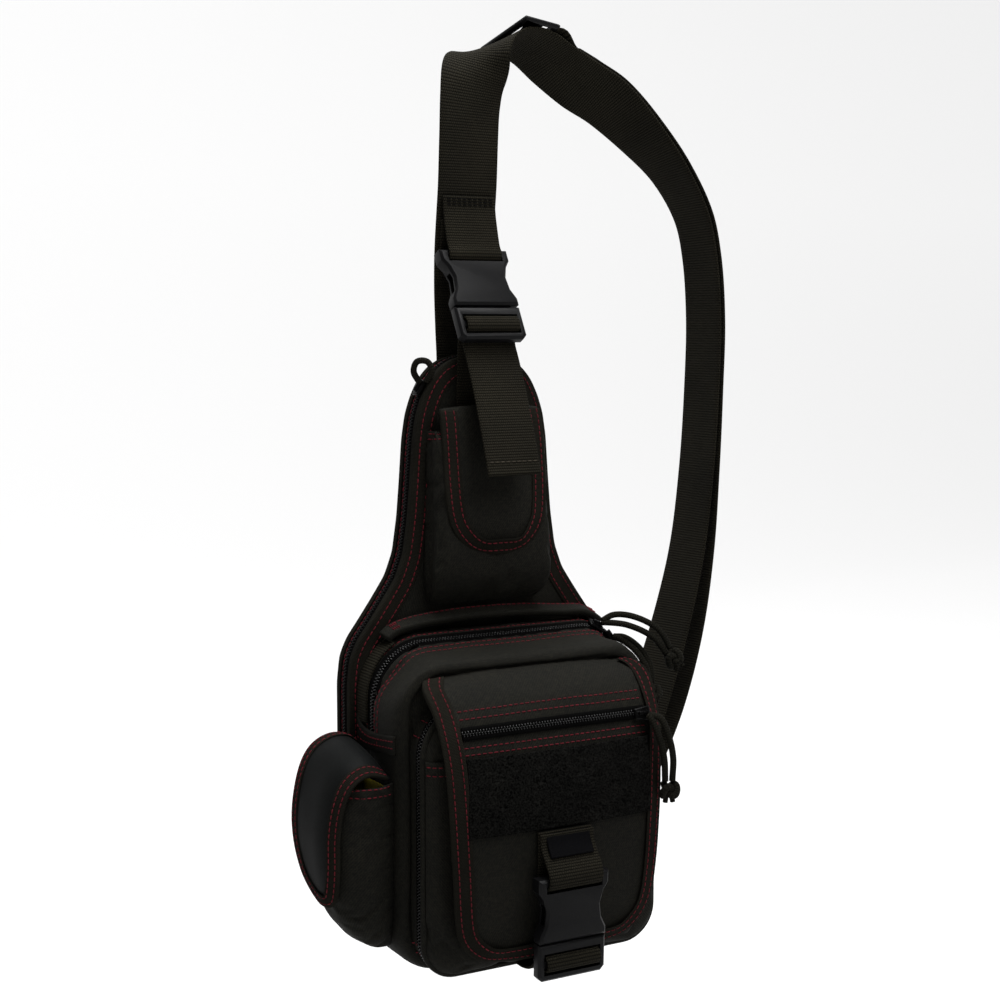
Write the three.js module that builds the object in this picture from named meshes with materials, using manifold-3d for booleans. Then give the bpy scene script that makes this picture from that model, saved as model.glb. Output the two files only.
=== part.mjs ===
// Chest bag on one shoulder strap, shown hanging. Millimetres, +Z up, the front faces -Y, +X to the viewer's right.
import * as THREE from "three";
import Module from "manifold-3d";
import { mergeVertices } from "three/addons/utils/BufferGeometryUtils.js";

const wasm = await Module();
wasm.setup();

// Driving sizes: y = 0 is the outer face of the back panel, z = 0 the bottom of the bag.
const cloth = 2.0;
const padding = 4.5;
const seam = 0.4;
const webThick = 1.9;
const webWidth = 40;
const strapWidth = 45;
const shellDeep = 20;
const zipWide = 6.4;
const zipTape = 1.2;
const coilHigh = 1.5;
const coilHalf = 1.4;
const cordThick = 3.8;
const flapThick = 2.2;

// Surfaces of the fabrics and hardware, colours read from the photograph.
const finish = (color, roughness, metalness = 0) => new THREE.MeshStandardMaterial({ color, roughness, metalness });
const canvas = finish(0x211f1b, 0.9);
const smoothCloth = finish(0x23252a, 0.7);
const webbing = finish(0x1f1b18, 0.85);
const zipper = finish(0x111112, 0.45);
const loopPile = finish(0x121114, 1.0);
const acetal = finish(0x232326, 0.4);
const cordage = finish(0x201f19, 0.85);
const liningCloth = finish(0x9c8a10, 0.8);
const labelCloth = finish(0x101013, 0.6);

const vec = (x, y, z) => new THREE.Vector3(x, y, z);
const radians = (degrees) => (degrees * Math.PI) / 180;
const mix = (a, b, t) => a + (b - a) * t;

// A closed body from triangles of points; a body that came out inside out is turned.
function closedBody(triangles) {
  let volume = 0;
  for (const [a, b, c] of triangles) volume += a.dot(b.clone().cross(c));
  const flat = [];
  for (const [a, b, c] of triangles) {
    const order = volume < 0 ? [a, c, b] : [a, b, c];
    for (const p of order) flat.push(p.x, p.y, p.z);
  }
  const geometry = new THREE.BufferGeometry();
  geometry.setAttribute("position", new THREE.BufferAttribute(new Float32Array(flat), 3));
  return geometry;
}

function quad(out, a, b, c, d) {
  out.push([a, b, c], [a, c, d]);
}

// A sheet with thickness, between two grids of points; a closed one runs round like a band.
function sheetBody(outer, inner, closed = false) {
  const out = [];
  const rows = outer.length;
  const last = outer[0].length - 1;
  const steps = closed ? rows : rows - 1;
  for (let i = 0; i < steps; i++) {
    const k = (i + 1) % rows;
    for (let j = 0; j < last; j++) {
      quad(out, outer[i][j], outer[k][j], outer[k][j + 1], outer[i][j + 1]);
      quad(out, inner[i][j], inner[i][j + 1], inner[k][j + 1], inner[k][j]);
    }
    quad(out, outer[k][0], outer[i][0], inner[i][0], inner[k][0]);
    quad(out, outer[i][last], outer[k][last], inner[k][last], inner[i][last]);
  }
  if (!closed) {
    const end = rows - 1;
    for (let j = 0; j < last; j++) {
      quad(out, outer[0][j], outer[0][j + 1], inner[0][j + 1], inner[0][j]);
      quad(out, outer[end][j + 1], outer[end][j], inner[end][j], inner[end][j + 1]);
    }
  }
  return closedBody(out);
}

// A body through a row of rings, each with the same number of points, closed by its two end rings.
function loftBody(rings, ends = null) {
  const out = [];
  const count = rings[0].length;
  for (let i = 0; i + 1 < rings.length; i++) {
    for (let j = 0; j < count; j++) {
      const k = (j + 1) % count;
      quad(out, rings[i][j], rings[i][k], rings[i + 1][k], rings[i + 1][j]);
    }
  }
  const centres = ends ?? [middle(rings[0]), middle(rings[rings.length - 1])];
  for (let j = 0; j < count; j++) {
    const k = (j + 1) % count;
    out.push([rings[0][k], rings[0][j], centres[0]]);
    out.push([rings[rings.length - 1][j], rings[rings.length - 1][k], centres[1]]);
  }
  return closedBody(out);
}

function middle(ring) {
  const sum = vec(0, 0, 0);
  for (const p of ring) sum.add(p);
  return sum.divideScalar(ring.length);
}

// A cup: a rim, rings that close in, and a floor, with a wall between its two skins.
function cupBody(outer, inner, outerCentre, innerCentre) {
  const out = [];
  const count = outer[0].length;
  const end = outer.length - 1;
  for (let j = 0; j < count; j++) {
    const k = (j + 1) % count;
    for (let i = 0; i < end; i++) {
      quad(out, outer[i][j], outer[i][k], outer[i + 1][k], outer[i + 1][j]);
      quad(out, inner[i][j], inner[i + 1][j], inner[i + 1][k], inner[i][k]);
    }
    out.push([outer[end][j], outer[end][k], outerCentre]);
    out.push([inner[end][k], inner[end][j], innerCentre]);
    quad(out, outer[0][k], outer[0][j], inner[0][j], inner[0][k]);
  }
  return closedBody(out);
}

// Outlines in the front view, as rings of x and z that start at the bottom and go up the left side.
function insetRing(ring, by) {
  const count = ring.length;
  return ring.map((p, i) => {
    const a = ring[(i + count - 1) % count];
    const b = ring[(i + 1) % count];
    const long = Math.hypot(b.x - a.x, b.z - a.z);
    return { x: p.x + ((b.z - a.z) / long) * by, z: p.z - ((b.x - a.x) / long) * by };
  });
}

const cornerSteps = 4;
const sideStops = [0.35, 0.9];
function boxRing({ half, top, bottom, left, right, low }) {
  const ring = [];
  const corners = [
    { x: -half + low, z: bottom + low, radius: low, from: 270 },
    { x: -half + left, z: top - left, radius: left, from: 180 },
    { x: half - right, z: top - right, radius: right, from: 90 },
    { x: half - low, z: bottom + low, radius: low, from: 0 },
  ];
  corners.forEach((corner, index) => {
    for (let i = 0; i <= cornerSteps; i++) {
      const turn = radians(corner.from - (90 * i) / cornerSteps);
      ring.push({ x: corner.x + corner.radius * Math.cos(turn), z: corner.z + corner.radius * Math.sin(turn) });
    }
    const next = corners[(index + 1) % 4];
    const turn = radians(next.from);
    const start = ring[ring.length - 1];
    const stop = { x: next.x + next.radius * Math.cos(turn), z: next.z + next.radius * Math.sin(turn) };
    for (const t of sideStops) ring.push({ x: mix(start.x, stop.x, t), z: mix(start.z, stop.z, t) });
  });
  return ring;
}

const lay = (ring, y) => ring.map((p) => vec(p.x, y, p.z));

// A band of cloth that follows outlines laid at their own depths, its wall inside them.
function bandBody(rows, wall, from = 0, to = null) {
  const closed = to === null;
  const stop = to ?? rows[0].ring.length - 1;
  const outer = [];
  const inner = [];
  const insides = rows.map((row) => insetRing(row.ring, wall));
  for (let i = from; i <= stop; i++) {
    outer.push(rows.map((row) => vec(row.ring[i].x, row.y, row.ring[i].z)));
    inner.push(rows.map((row, j) => vec(insides[j][i].x, row.y, insides[j][i].z)));
  }
  return sheetBody(outer, inner, closed);
}

// A zip in a gusset: tape with the coil standing up along its middle.
function zipBody(ring, yFrom, yTo, from, to, frontRing = ring) {
  const coil = coilHalf / Math.abs(yTo - yFrom);
  const stops = [
    { t: 0, lift: 0 },
    { t: 0.5 - coil, lift: coilHigh },
    { t: 0.5 + coil, lift: coilHigh },
    { t: 1, lift: 0 },
  ];
  const rows = stops.map((stop) => {
    const base = ring.map((p, i) => ({ x: mix(p.x, frontRing[i].x, stop.t), z: mix(p.z, frontRing[i].z, stop.t) }));
    return { y: mix(yFrom, yTo, stop.t), face: insetRing(base, -stop.lift), under: insetRing(base, zipTape) };
  });
  const outer = [];
  const inner = [];
  for (let i = from; i <= to; i++) {
    outer.push(rows.map((row) => vec(row.face[i].x, row.y, row.face[i].z)));
    inner.push(rows.map((row) => vec(row.under[i].x, row.y, row.under[i].z)));
  }
  return sheetBody(outer, inner);
}

// The closed stretch of a gusset, from where its zip ends round the foot to where it starts again.
function baseBody(ring, from, to, yFrom, yTo, wall, frontRing = ring) {
  const under = insetRing(ring, wall);
  const frontUnder = insetRing(frontRing, wall);
  const count = ring.length;
  const outer = [];
  const inner = [];
  for (let i = from; i <= to + count; i++) {
    const k = i % count;
    const near = i === from ? (k + 1) % count : (k + count - 1) % count;
    const long = Math.hypot(ring[near].x - ring[k].x, ring[near].z - ring[k].z);
    const t = i === from || i === to + count ? seam / long : 0;
    const place = (list, y) => vec(mix(list[k].x, list[near].x, t), y, mix(list[k].z, list[near].z, t));
    outer.push([place(ring, yFrom), place(frontRing, yTo)]);
    inner.push([place(under, yFrom), place(frontUnder, yTo)]);
  }
  return sheetBody(outer, inner);
}

// Webbing along stations, each with its place and the way its width runs.
function webBody(stations, width, thick = webThick) {
  const rings = stations.map((s, i) => {
    const before = stations[Math.max(0, i - 1)].at;
    const after = stations[Math.min(stations.length - 1, i + 1)].at;
    const along = after.clone().sub(before).normalize();
    const across = s.across.clone().addScaledVector(along, -s.across.dot(along)).normalize();
    const face = along.clone().cross(across).normalize();
    const corner = (w, t) => s.at.clone().addScaledVector(across, w).addScaledVector(face, t);
    const w = width / 2;
    const t = thick / 2;
    return [corner(-w, -t), corner(w, -t), corner(w, t), corner(-w, t)];
  });
  return loftBody(rings);
}

// A smooth line through the rows of a table that holds places and width directions.
function stationsThrough(table, steps) {
  const places = new THREE.CatmullRomCurve3(table.map((r) => vec(r.x, r.y, r.z)), false, "centripetal");
  const list = [];
  for (let i = 0; i <= steps; i++) {
    const t = (i / steps) * (table.length - 1);
    const row = Math.min(table.length - 2, Math.floor(t));
    const a = table[row];
    const b = table[row + 1];
    const part = t - row;
    const across = vec(mix(a.ax, b.ax, part), mix(a.ay, b.ay, part), mix(a.az, b.az, part)).normalize();
    list.push({ at: places.getPoint(i / steps), across });
  }
  return list;
}

// A cord: a plain round tube along a smooth line.
function cordBody(points, steps = 7) {
  const circle = new THREE.Shape();
  circle.absarc(0, 0, cordThick / 2, 0, Math.PI * 2);
  const path = new THREE.CatmullRomCurve3(points, false, "centripetal");
  return new THREE.ExtrudeGeometry(circle, { steps, curveSegments: 4, bevelEnabled: false, extrudePath: path });
}

// Solids for cutting and joining the moulded hardware.
function solidOf(geometry) {
  const bare = new THREE.BufferGeometry();
  const source = geometry.index ? geometry.toNonIndexed() : geometry;
  bare.setAttribute("position", source.getAttribute("position"));
  const merged = mergeVertices(bare, 1e-4);
  return new wasm.Manifold(
    new wasm.Mesh({
      numProp: 3,
      vertProperties: merged.attributes.position.array,
      triVerts: new Uint32Array(merged.index.array),
    }),
  );
}

function geometryOf(solid) {
  const mesh = solid.getMesh();
  const geometry = new THREE.BufferGeometry();
  const stride = mesh.numProp;
  const places = new Float32Array(mesh.numVert * 3);
  for (let i = 0; i < mesh.numVert; i++) {
    places.set(mesh.vertProperties.subarray(i * stride, i * stride + 3), i * 3);
  }
  geometry.setAttribute("position", new THREE.BufferAttribute(places, 3));
  geometry.setIndex(new THREE.BufferAttribute(mesh.triVerts, 1));
  return geometry.toNonIndexed();
}

function block(wide, deep, high, x, y, z) {
  const geometry = new THREE.BoxGeometry(wide, deep, high);
  geometry.translate(x, y, z);
  return solidOf(geometry);
}

// A plate cut to an outline in the front view, centred on its own thickness.
function plate(outline, deep, rounding = 0) {
  const shape = new THREE.Shape(outline.map((p) => new THREE.Vector2(p.x, p.z)));
  const options = { depth: deep - 2 * rounding, bevelEnabled: rounding > 0, curveSegments: 8 };
  options.bevelThickness = rounding;
  options.bevelSize = rounding;
  options.bevelOffset = -rounding;
  options.bevelSegments = 1;
  const geometry = new THREE.ExtrudeGeometry(shape, options);
  geometry.translate(0, 0, -(deep - 2 * rounding) / 2);
  geometry.rotateX(Math.PI / 2);
  return geometry;
}

const bag = new THREE.Group();
bag.name = "chest_bag";
function add(name, geometry, material, place = null) {
  const mesh = new THREE.Mesh(geometry, material);
  mesh.name = name;
  if (place) {
    mesh.position.copy(place.at);
    mesh.rotation.set(place.tip ?? 0, 0, place.turn ?? 0);
  }
  bag.add(mesh);
  return mesh;
}

// Back compartment: a slab with a narrow rounded neck, half widths by height.
const shellTable = [
  { z: 0, half: 70 },
  { z: 4, half: 82 },
  { z: 12, half: 92 },
  { z: 28, half: 98 },
  { z: 70, half: 99 },
  { z: 130, half: 99 },
  { z: 180, half: 99 },
  { z: 197, half: 97 },
  { z: 208, half: 92 },
  { z: 220, half: 83 },
  { z: 234, half: 73 },
  { z: 248, half: 63.5 },
  { z: 264, half: 57.5 },
  { z: 288, half: 54 },
  { z: 312, half: 52 },
  { z: 340, half: 50 },
  { z: 356, half: 47.5 },
  { z: 368, half: 43.5 },
  { z: 379, half: 38 },
  { z: 387, half: 31 },
  { z: 392, half: 23 },
  { z: 395, half: 12 },
];
const shellRing = [
  ...shellTable.map((r) => ({ x: -r.half, z: r.z })),
  ...[...shellTable].reverse().map((r) => ({ x: r.half, z: r.z })),
];
const shellRows = shellTable.length;
const shellZipStart = 5;
const shellZipEnd = 2 * shellRows - 1 - shellZipStart;

// A panel of the slab: rows by height, columns across, each face at its own depth.
function shellPanel(inset, faceAt, backAt) {
  const ring = insetRing(shellRing, inset);
  const columns = [-1, 0, 1];
  const outer = [];
  const inner = [];
  for (let i = 0; i < shellRows; i++) {
    const half = -ring[i].x;
    outer.push(columns.map((u) => vec(half * u, faceAt(u, ring[i].z), ring[i].z)));
    inner.push(columns.map((u) => vec(half * u, backAt(u, ring[i].z), ring[i].z)));
  }
  return sheetBody(outer, inner);
}

const frontFace = -shellDeep;
add("back_panel", shellPanel(0, () => 0, () => -padding), canvas);
add("shell_front_panel", shellPanel(0, () => frontFace, () => frontFace + cloth + 0.6), canvas);
const rearBandEnd = -padding - seam;
const zipRear = -9;
const zipFront = zipRear - zipWide;
const frontBandEnd = frontFace + cloth + 0.6 + seam;
const shellIn = insetRing(shellRing, 0.6);
add(
  "shell_gusset_rear",
  bandBody([{ y: rearBandEnd, ring: shellIn }, { y: zipRear + seam, ring: shellIn }], cloth),
  canvas,
);
add(
  "shell_gusset_front",
  bandBody([{ y: zipFront - seam, ring: shellIn }, { y: frontBandEnd - 0.01, ring: shellIn }], cloth),
  canvas,
);
const zipShellRing = insetRing(shellRing, 1.4);
add("shell_zip", zipBody(zipShellRing, zipRear, zipFront, shellZipStart, shellZipEnd), zipper);
add("shell_gusset_base", baseBody(shellIn, shellZipEnd, shellZipStart, zipRear, zipFront, cloth), canvas);

// Main compartment: outlines by depth, softer at the left corner where the load pulls it down.
const mainTable = [
  { part: "rear", y: -20.5, half: 91.5, top: 212, bottom: 2, left: 38, right: 25, low: 24 },
  { part: "rear", y: -28, half: 93, top: 212.5, bottom: 1.5, left: 39, right: 25, low: 25 },
  { part: "rear", y: -36, half: 93.4, top: 211.5, bottom: 1.5, left: 39, right: 25, low: 25 },
  { part: "front", y: -43.2, half: 92, top: 206, bottom: 2, left: 37, right: 25, low: 25 },
  { part: "front", y: -50, half: 93.2, top: 203.2, bottom: 2, left: 37, right: 25, low: 25 },
  { part: "front", y: -58, half: 93.5, top: 201.6, bottom: 2, left: 36, right: 25, low: 25 },
  { part: "front", y: -67, half: 93.3, top: 200.9, bottom: 2.5, left: 34, right: 24, low: 25 },
  { part: "front", y: -75, half: 92.3, top: 199, bottom: 3.5, left: 31, right: 24, low: 24 },
  { part: "front", y: -79.5, half: 89.5, top: 195, bottom: 6, left: 29, right: 23, low: 23 },
  { part: "front", y: -81, half: 86, top: 190.5, bottom: 9, left: 27, right: 22, low: 22 },
];
const mainRows = mainTable.map((r) => ({ part: r.part, y: r.y, ring: boxRing(r) }));
const rearRows = mainRows.filter((r) => r.part === "rear");
const frontRows = mainRows.filter((r) => r.part === "front");
add("main_gusset_rear", bandBody(rearRows, cloth), canvas);
add("main_gusset_front", bandBody(frontRows, cloth), canvas);
// The zip slopes forward between the two gussets.
const mainZipRear = rearRows[rearRows.length - 1].ring;
const mainZipFront = frontRows[0].ring;
const zipSink = 0.8;
const cornerPoints = cornerSteps + 3;
const mainZipStart = cornerPoints - 1;
const mainZipEnd = 3 * cornerPoints - 2;
const mainZipDepth = { from: -36.3, to: -42.9 };
add(
  "main_zip",
  zipBody(
    insetRing(mainZipRear, zipSink),
    mainZipDepth.from,
    mainZipDepth.to,
    mainZipStart,
    mainZipEnd,
    insetRing(mainZipFront, zipSink),
  ),
  zipper,
);
add(
  "main_gusset_base",
  baseBody(mainZipRear, mainZipEnd, mainZipStart, mainZipDepth.from, mainZipDepth.to, cloth, mainZipFront),
  canvas,
);
const mainMouth = insetRing(frontRows[frontRows.length - 1].ring, cloth + seam);
add("main_front_panel", loftBody([lay(mainMouth, -79), lay(mainMouth, -81)]), canvas);

// Front pocket: a shallow box on the front, its zip close to the body and a rolled front edge.
const pocketTable = [
  { part: "gusset", y: -81.4, half: 85, top: 176, bottom: 6, left: 32, right: 26, low: 22 },
  { part: "gusset", y: -89.6, half: 86.2, top: 177.5, bottom: 5, left: 33, right: 26, low: 22 },
  { part: "front", y: -96.4, half: 86.4, top: 177.5, bottom: 4.5, left: 33, right: 26, low: 22 },
  { part: "front", y: -101, half: 86, top: 177, bottom: 4.5, left: 33, right: 26, low: 22 },
  { part: "front", y: -105, half: 84, top: 174.5, bottom: 6.5, left: 32, right: 26, low: 22 },
  { part: "front", y: -108, half: 80, top: 170, bottom: 10, left: 30, right: 25, low: 21 },
  { part: "front", y: -109.2, half: 72, top: 160, bottom: 17, left: 28, right: 24, low: 20 },
];
const pocketRows = pocketTable.map((r) => ({ part: r.part, y: r.y, ring: boxRing(r) }));
const pocketGusset = pocketRows.filter((r) => r.part === "gusset");
const pocketFront = pocketRows.filter((r) => r.part === "front");
add("front_pocket_gusset", bandBody(pocketGusset, cloth), canvas);
const pocketZipRing = insetRing(boxRing({ half: 86.4, top: 177.5, bottom: 5, left: 33, right: 26, low: 22 }), 0.6);
const pocketZipEnd = 4 * cornerPoints - 3;
add("front_pocket_zip", zipBody(pocketZipRing, -89.9, -96.1, 0, pocketZipEnd), zipper);
add("front_pocket_base", baseBody(pocketZipRing, pocketZipEnd, 0, -89.9, -96.1, zipTape), canvas);
add(
  "front_pocket_panel",
  cupBody(
    pocketFront.map((r) => lay(r.ring, r.y)),
    pocketFront.map((r, i) => lay(insetRing(r.ring, cloth), r.y + (i > 1 ? cloth * Math.min(1, (i - 1) / 2) : 0))),
    vec(0, -110, 88),
    vec(0, -108, 88),
  ),
  canvas,
);
const slipColumns = [-75, -50, 0, 50, 75];
const slipRows = [12, 60, 105, 134, 145];
add(
  "slip_pocket",
  sheetBody(
    slipRows.map((z) => slipColumns.map((x) => vec(x, -112.2, z))),
    slipRows.map((z) => slipColumns.map((x) => vec(x, -110.4, z))),
  ),
  canvas,
);

// A hanging flap: a profile of rows from its sewn top to its hem, with rounded lower corners.
function flapBody(table, thick, curl, columns) {
  const outer = [];
  const inner = [];
  table.forEach((row, i) => {
    const a = table[Math.max(0, i - 1)];
    const b = table[Math.min(table.length - 1, i + 1)];
    const long = Math.hypot(b.y - a.y, b.z - a.z);
    const ny = (b.z - a.z) / long;
    const nz = -(b.y - a.y) / long;
    const place = (u, off) => {
      const bend = curl * Math.abs(u) ** 4;
      return vec(row.half * u, row.y - ny * off * -1 - ny * bend, row.z + nz * off - nz * bend);
    };
    outer.push(columns.map((u) => place(u, thick / 2)));
    inner.push(columns.map((u) => place(u, -thick / 2)));
  });
  return sheetBody(outer, inner);
}

const flapTable = [
  { y: -79.8, z: 197.6, half: 85 },
  { y: -91, z: 193.4, half: 84.5 },
  { y: -100, z: 187, half: 83.5 },
  { y: -108, z: 177.5, half: 82.5 },
  { y: -114.5, z: 164, half: 81.5 },
  { y: -119, z: 149, half: 80.5 },
  { y: -121.5, z: 132, half: 79.5 },
  { y: -122.8, z: 112, half: 78 },
  { y: -123.2, z: 92, half: 76.5 },
  { y: -123, z: 72, half: 74.5 },
  { y: -121.8, z: 52, half: 72 },
  { y: -119.8, z: 36, half: 67 },
  { y: -118.4, z: 26, half: 60 },
  { y: -117.4, z: 19, half: 48 },
  { y: -117, z: 16.5, half: 30 },
];
const flapColumns = [-1, -0.85, -0.5, 0, 0.5, 0.85, 1];
add("front_flap", flapBody(flapTable, flapThick, 2, flapColumns), canvas);

// Where the flap's face is at a height, and how it leans there.
function flapAt(z) {
  const i = Math.max(0, flapTable.findIndex((r) => r.z <= z) - 1);
  const a = flapTable[i];
  const b = flapTable[i + 1];
  const t = (a.z - z) / (a.z - b.z);
  return mix(a.y, b.y, t) - (flapThick / 2) * 1.05;
}

// Pieces that lie on the flap: strips by their upper and lower height and half width.
function onFlap(top, bottom, half, thick, rows, lift = 0.35) {
  const outer = [];
  const inner = [];
  for (let i = 0; i <= rows; i++) {
    const z = mix(top, bottom, i / rows);
    const y = flapAt(z) - lift;
    const bend = (x) => 2 * Math.min(1, Math.abs(x) / 79) ** 4;
    const xs = [-half, -half / 2, 0, half / 2, half];
    outer.push(xs.map((x) => vec(x, y - thick + bend(x) * 0.9, z)));
    inner.push(xs.map((x) => vec(x, y + bend(x) * 0.9, z)));
  }
  return sheetBody(outer, inner);
}
const flapZipMiddle = 163.2;
add("flap_zip", onFlap(flapZipMiddle + 4, flapZipMiddle - 4, 66, 1.9, 3, 0.7), zipper);
const loopTop = 148;
const loopLow = 98;
add("loop_panel", onFlap(loopTop, loopLow, 66, 2.2, 6, 0.7), loopPile);

// Side-release buckles: a socket with side windows, and a plug with a ladder frame. Both are made
// with the webbing coming in at the top, the front facing -Y, centred on the latch.
const buckleWide = 52;
const socketLong = 42;
const buckleDeep = 11;
function buckleSocket() {
  const half = buckleWide / 2;
  const outline = [
    { x: -half, z: 21 },
    { x: -half, z: 13 },
    { x: -half + 3.5, z: 8 },
    { x: -half + 6, z: 0 },
    { x: -half + 5, z: -9 },
    { x: -half + 1.5, z: -16 },
    { x: -half + 1.5, z: -21 },
  ];
  const full = [...outline, ...[...outline].reverse().map((p) => ({ x: -p.x, z: p.z }))];
  let body = solidOf(plate(full, buckleDeep, 1.6));
  body = body.subtract(block(38, 5.2, 33, 0, 0, -7.5));
  body = body.subtract(block(41.5, 30, 4.6, 0, 0, 14.2));
  for (const side of [-1, 1]) body = body.subtract(block(9, 4.6, 14, side * 22.5, 0, -3));
  return geometryOf(body);
}
function bucklePlug() {
  const half = buckleWide / 2 - 1;
  const outline = [
    { x: -half, z: -22 },
    { x: -half, z: -43 },
    { x: -half + 3, z: -46 },
  ];
  const full = [...outline, ...[...outline].reverse().map((p) => ({ x: -p.x, z: p.z }))];
  let body = solidOf(plate(full, 8, 1.5));
  body = body.subtract(block(42, 30, 4.8, 0, 0, -30.4));
  body = body.subtract(block(42, 30, 4.8, 0, 0, -39.6));
  body = body.add(block(30, 4, 24, 0, 0, -11.6));
  for (const side of [-1, 1]) {
    body = body.add(block(4.4, 4, 24, side * 15.6, 0, -11.6));
  }
  return geometryOf(body);
}

// Buckle on the flap, and the webbing above and below it.
const flapBuckle = { at: vec(0, -134.5, 48), tip: radians(1.5) };
add("flap_buckle_socket", buckleSocket(), acetal, flapBuckle);
add("flap_buckle_plug", bucklePlug(), acetal, flapBuckle);
const faceX = { ax: 1, ay: 0, az: 0 };
const flapWebTable = [
  { x: 0, y: flapAt(96) - 1.5, z: 96.8, ...faceX },
  { x: 0, y: flapAt(84) - 2, z: 84, ...faceX },
  { x: 0, y: -127.5, z: 72, ...faceX },
  { x: 0, y: -127.3, z: 66.5, ...faceX },
  { x: 0, y: -129.8, z: 62.4, ...faceX },
  { x: 0, y: -135, z: 62.2, ...faceX },
  { x: 0, y: -140, z: 62.6, ...faceX },
  { x: 0, y: -142.4, z: 66, ...faceX },
  { x: 0, y: -141.8, z: 71.5, ...faceX },
  { x: 0, y: -136.5, z: 79.5, ...faceX },
  { x: 0, y: -131.5, z: 87.5, ...faceX },
  { x: 0, y: flapAt(96) - 4.2, z: 95.5, ...faceX },
];
add("flap_webbing", webBody(stationsThrough(flapWebTable, 30), webWidth), webbing);
const labelTable = [
  { y: -130, z: 95.8 },
  { y: -132.7, z: 89 },
  { y: -136.9, z: 81.8 },
];
const labelColumns = [-16, 0, 16];
add(
  "label_tab",
  sheetBody(
    labelTable.map((r) => labelColumns.map((x) => vec(x, r.y - 0.8, r.z))),
    labelTable.map((r) => labelColumns.map((x) => vec(x, r.y, r.z))),
  ),
  labelCloth,
);
const footWebTable = [
  { x: 0, y: -98, z: 3, ...faceX },
  { x: 0, y: -108, z: 3, ...faceX },
  { x: 0, y: -117, z: 5.2, ...faceX },
  { x: 0, y: -122.6, z: 9.6, ...faceX },
  { x: 0, y: -124.8, z: 14, ...faceX },
  { x: 0, y: -127.6, z: 17.2, ...faceX },
  { x: 0, y: -133, z: 17.8, ...faceX },
  { x: 0, y: -138.2, z: 17, ...faceX },
  { x: 0, y: -140.3, z: 13.2, ...faceX },
  { x: 0, y: -138.4, z: 9.2, ...faceX },
  { x: 0, y: -133.5, z: 8.4, ...faceX },
  { x: 0, y: -128.8, z: 7.4, ...faceX },
  { x: 0, y: -126.2, z: 3.8, ...faceX },
  { x: 0, y: -120, z: 0.9, ...faceX },
  { x: 0, y: -110, z: 0.3, ...faceX },
];
add("flap_anchor_webbing", webBody(stationsThrough(footWebTable, 30), webWidth), webbing);

// Neck pocket: a deep front wall with pleated sides, rows by height.
const neckPocketTable = [
  { z: 346, front: -31.5, half: 42 },
  { z: 332, front: -34.5, half: 42.5 },
  { z: 312, front: -37, half: 43 },
  { z: 290, front: -38.8, half: 43.5 },
  { z: 268, front: -40.5, half: 44 },
  { z: 252, front: -39.5, half: 44.5 },
  { z: 241, front: -35, half: 44 },
  { z: 234, front: -28.5, half: 43 },
  { z: 230, front: -23.2, half: 42 },
];
const pleat = 3.2;
function neckSection(row, wall) {
  const back = frontFace - seam;
  const deep = row.front + wall - back;
  const half = row.half - wall;
  const pull = pleat * Math.min(1, Math.max(0, -deep / 10));
  return [
    vec(-half, back, row.z),
    vec(-half + pull, back + deep * 0.45, row.z),
    vec(-half + 1, back + deep * 0.8, row.z),
    vec(-half + 5, back + deep, row.z),
    vec(-half / 2, back + deep - 0.8, row.z),
    vec(0, back + deep - 1.2, row.z),
    vec(half / 2, back + deep - 0.8, row.z),
    vec(half - 5, back + deep, row.z),
    vec(half - 1, back + deep * 0.8, row.z),
    vec(half - pull, back + deep * 0.45, row.z),
    vec(half, back, row.z),
  ];
}
add(
  "neck_pocket",
  sheetBody(
    neckPocketTable.map((r) => neckSection(r, 0)),
    neckPocketTable.map((r) => neckSection(r, 1.6)),
  ),
  canvas,
);
const neckFlapTable = [
  { y: -23.9, z: 356, half: 36.5 },
  { y: -26.2, z: 360.6, half: 37 },
  { y: -30, z: 362.2, half: 37.2 },
  { y: -33.6, z: 359.6, half: 37.5 },
  { y: -36.4, z: 350, half: 37.8 },
  { y: -39, z: 334, half: 38 },
  { y: -41.2, z: 314, half: 38 },
  { y: -42.8, z: 296, half: 37 },
  { y: -43.8, z: 284, half: 34.5 },
  { y: -44.2, z: 275, half: 29 },
  { y: -44.2, z: 268, half: 21 },
  { y: -44, z: 264.5, half: 11 },
];
add("neck_flap", flapBody(neckFlapTable, flapThick, 0.6, flapColumns), canvas);

// Shoulder strap. The left leg rises from the back of the neck, turns edge-on over the peg it hangs
// on and comes down on the right, round the lower ring and back up to the slider.
const leftLeg = [
  { x: 0, y: 1.6, z: 330, ...faceX },
  { x: 0, y: 1.6, z: 360, ...faceX },
  { x: 0, y: 1.8, z: 392, ...faceX },
  { x: 0, y: 3.6, z: 415, ...faceX },
  { x: 0, y: 5, z: 440, ...faceX },
  { x: 0, y: 4.4, z: 465, ...faceX },
  { x: 0, y: 2.2, z: 485, ...faceX },
  { x: 0, y: -1, z: 510, ...faceX },
  { x: 0, y: -3, z: 540, ...faceX },
  { x: 1, y: -3.5, z: 566, ...faceX },
];
// The arch over the peg, where the strap's width turns from across to front-to-back.
const apex = { x: 40, y: 9, z: 610, ax: 0.35, ay: -0.9, az: 0.25 };
const arch = [
  { x: 4, y: -3, z: 584, ax: 0.97, ay: -0.15, az: 0.1 },
  { x: 11, y: 0, z: 597, ax: 0.85, ay: -0.45, az: 0.2 },
  { x: 24, y: 5, z: 606, ax: 0.6, ay: -0.75, az: 0.25 },
  apex,
];
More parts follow.
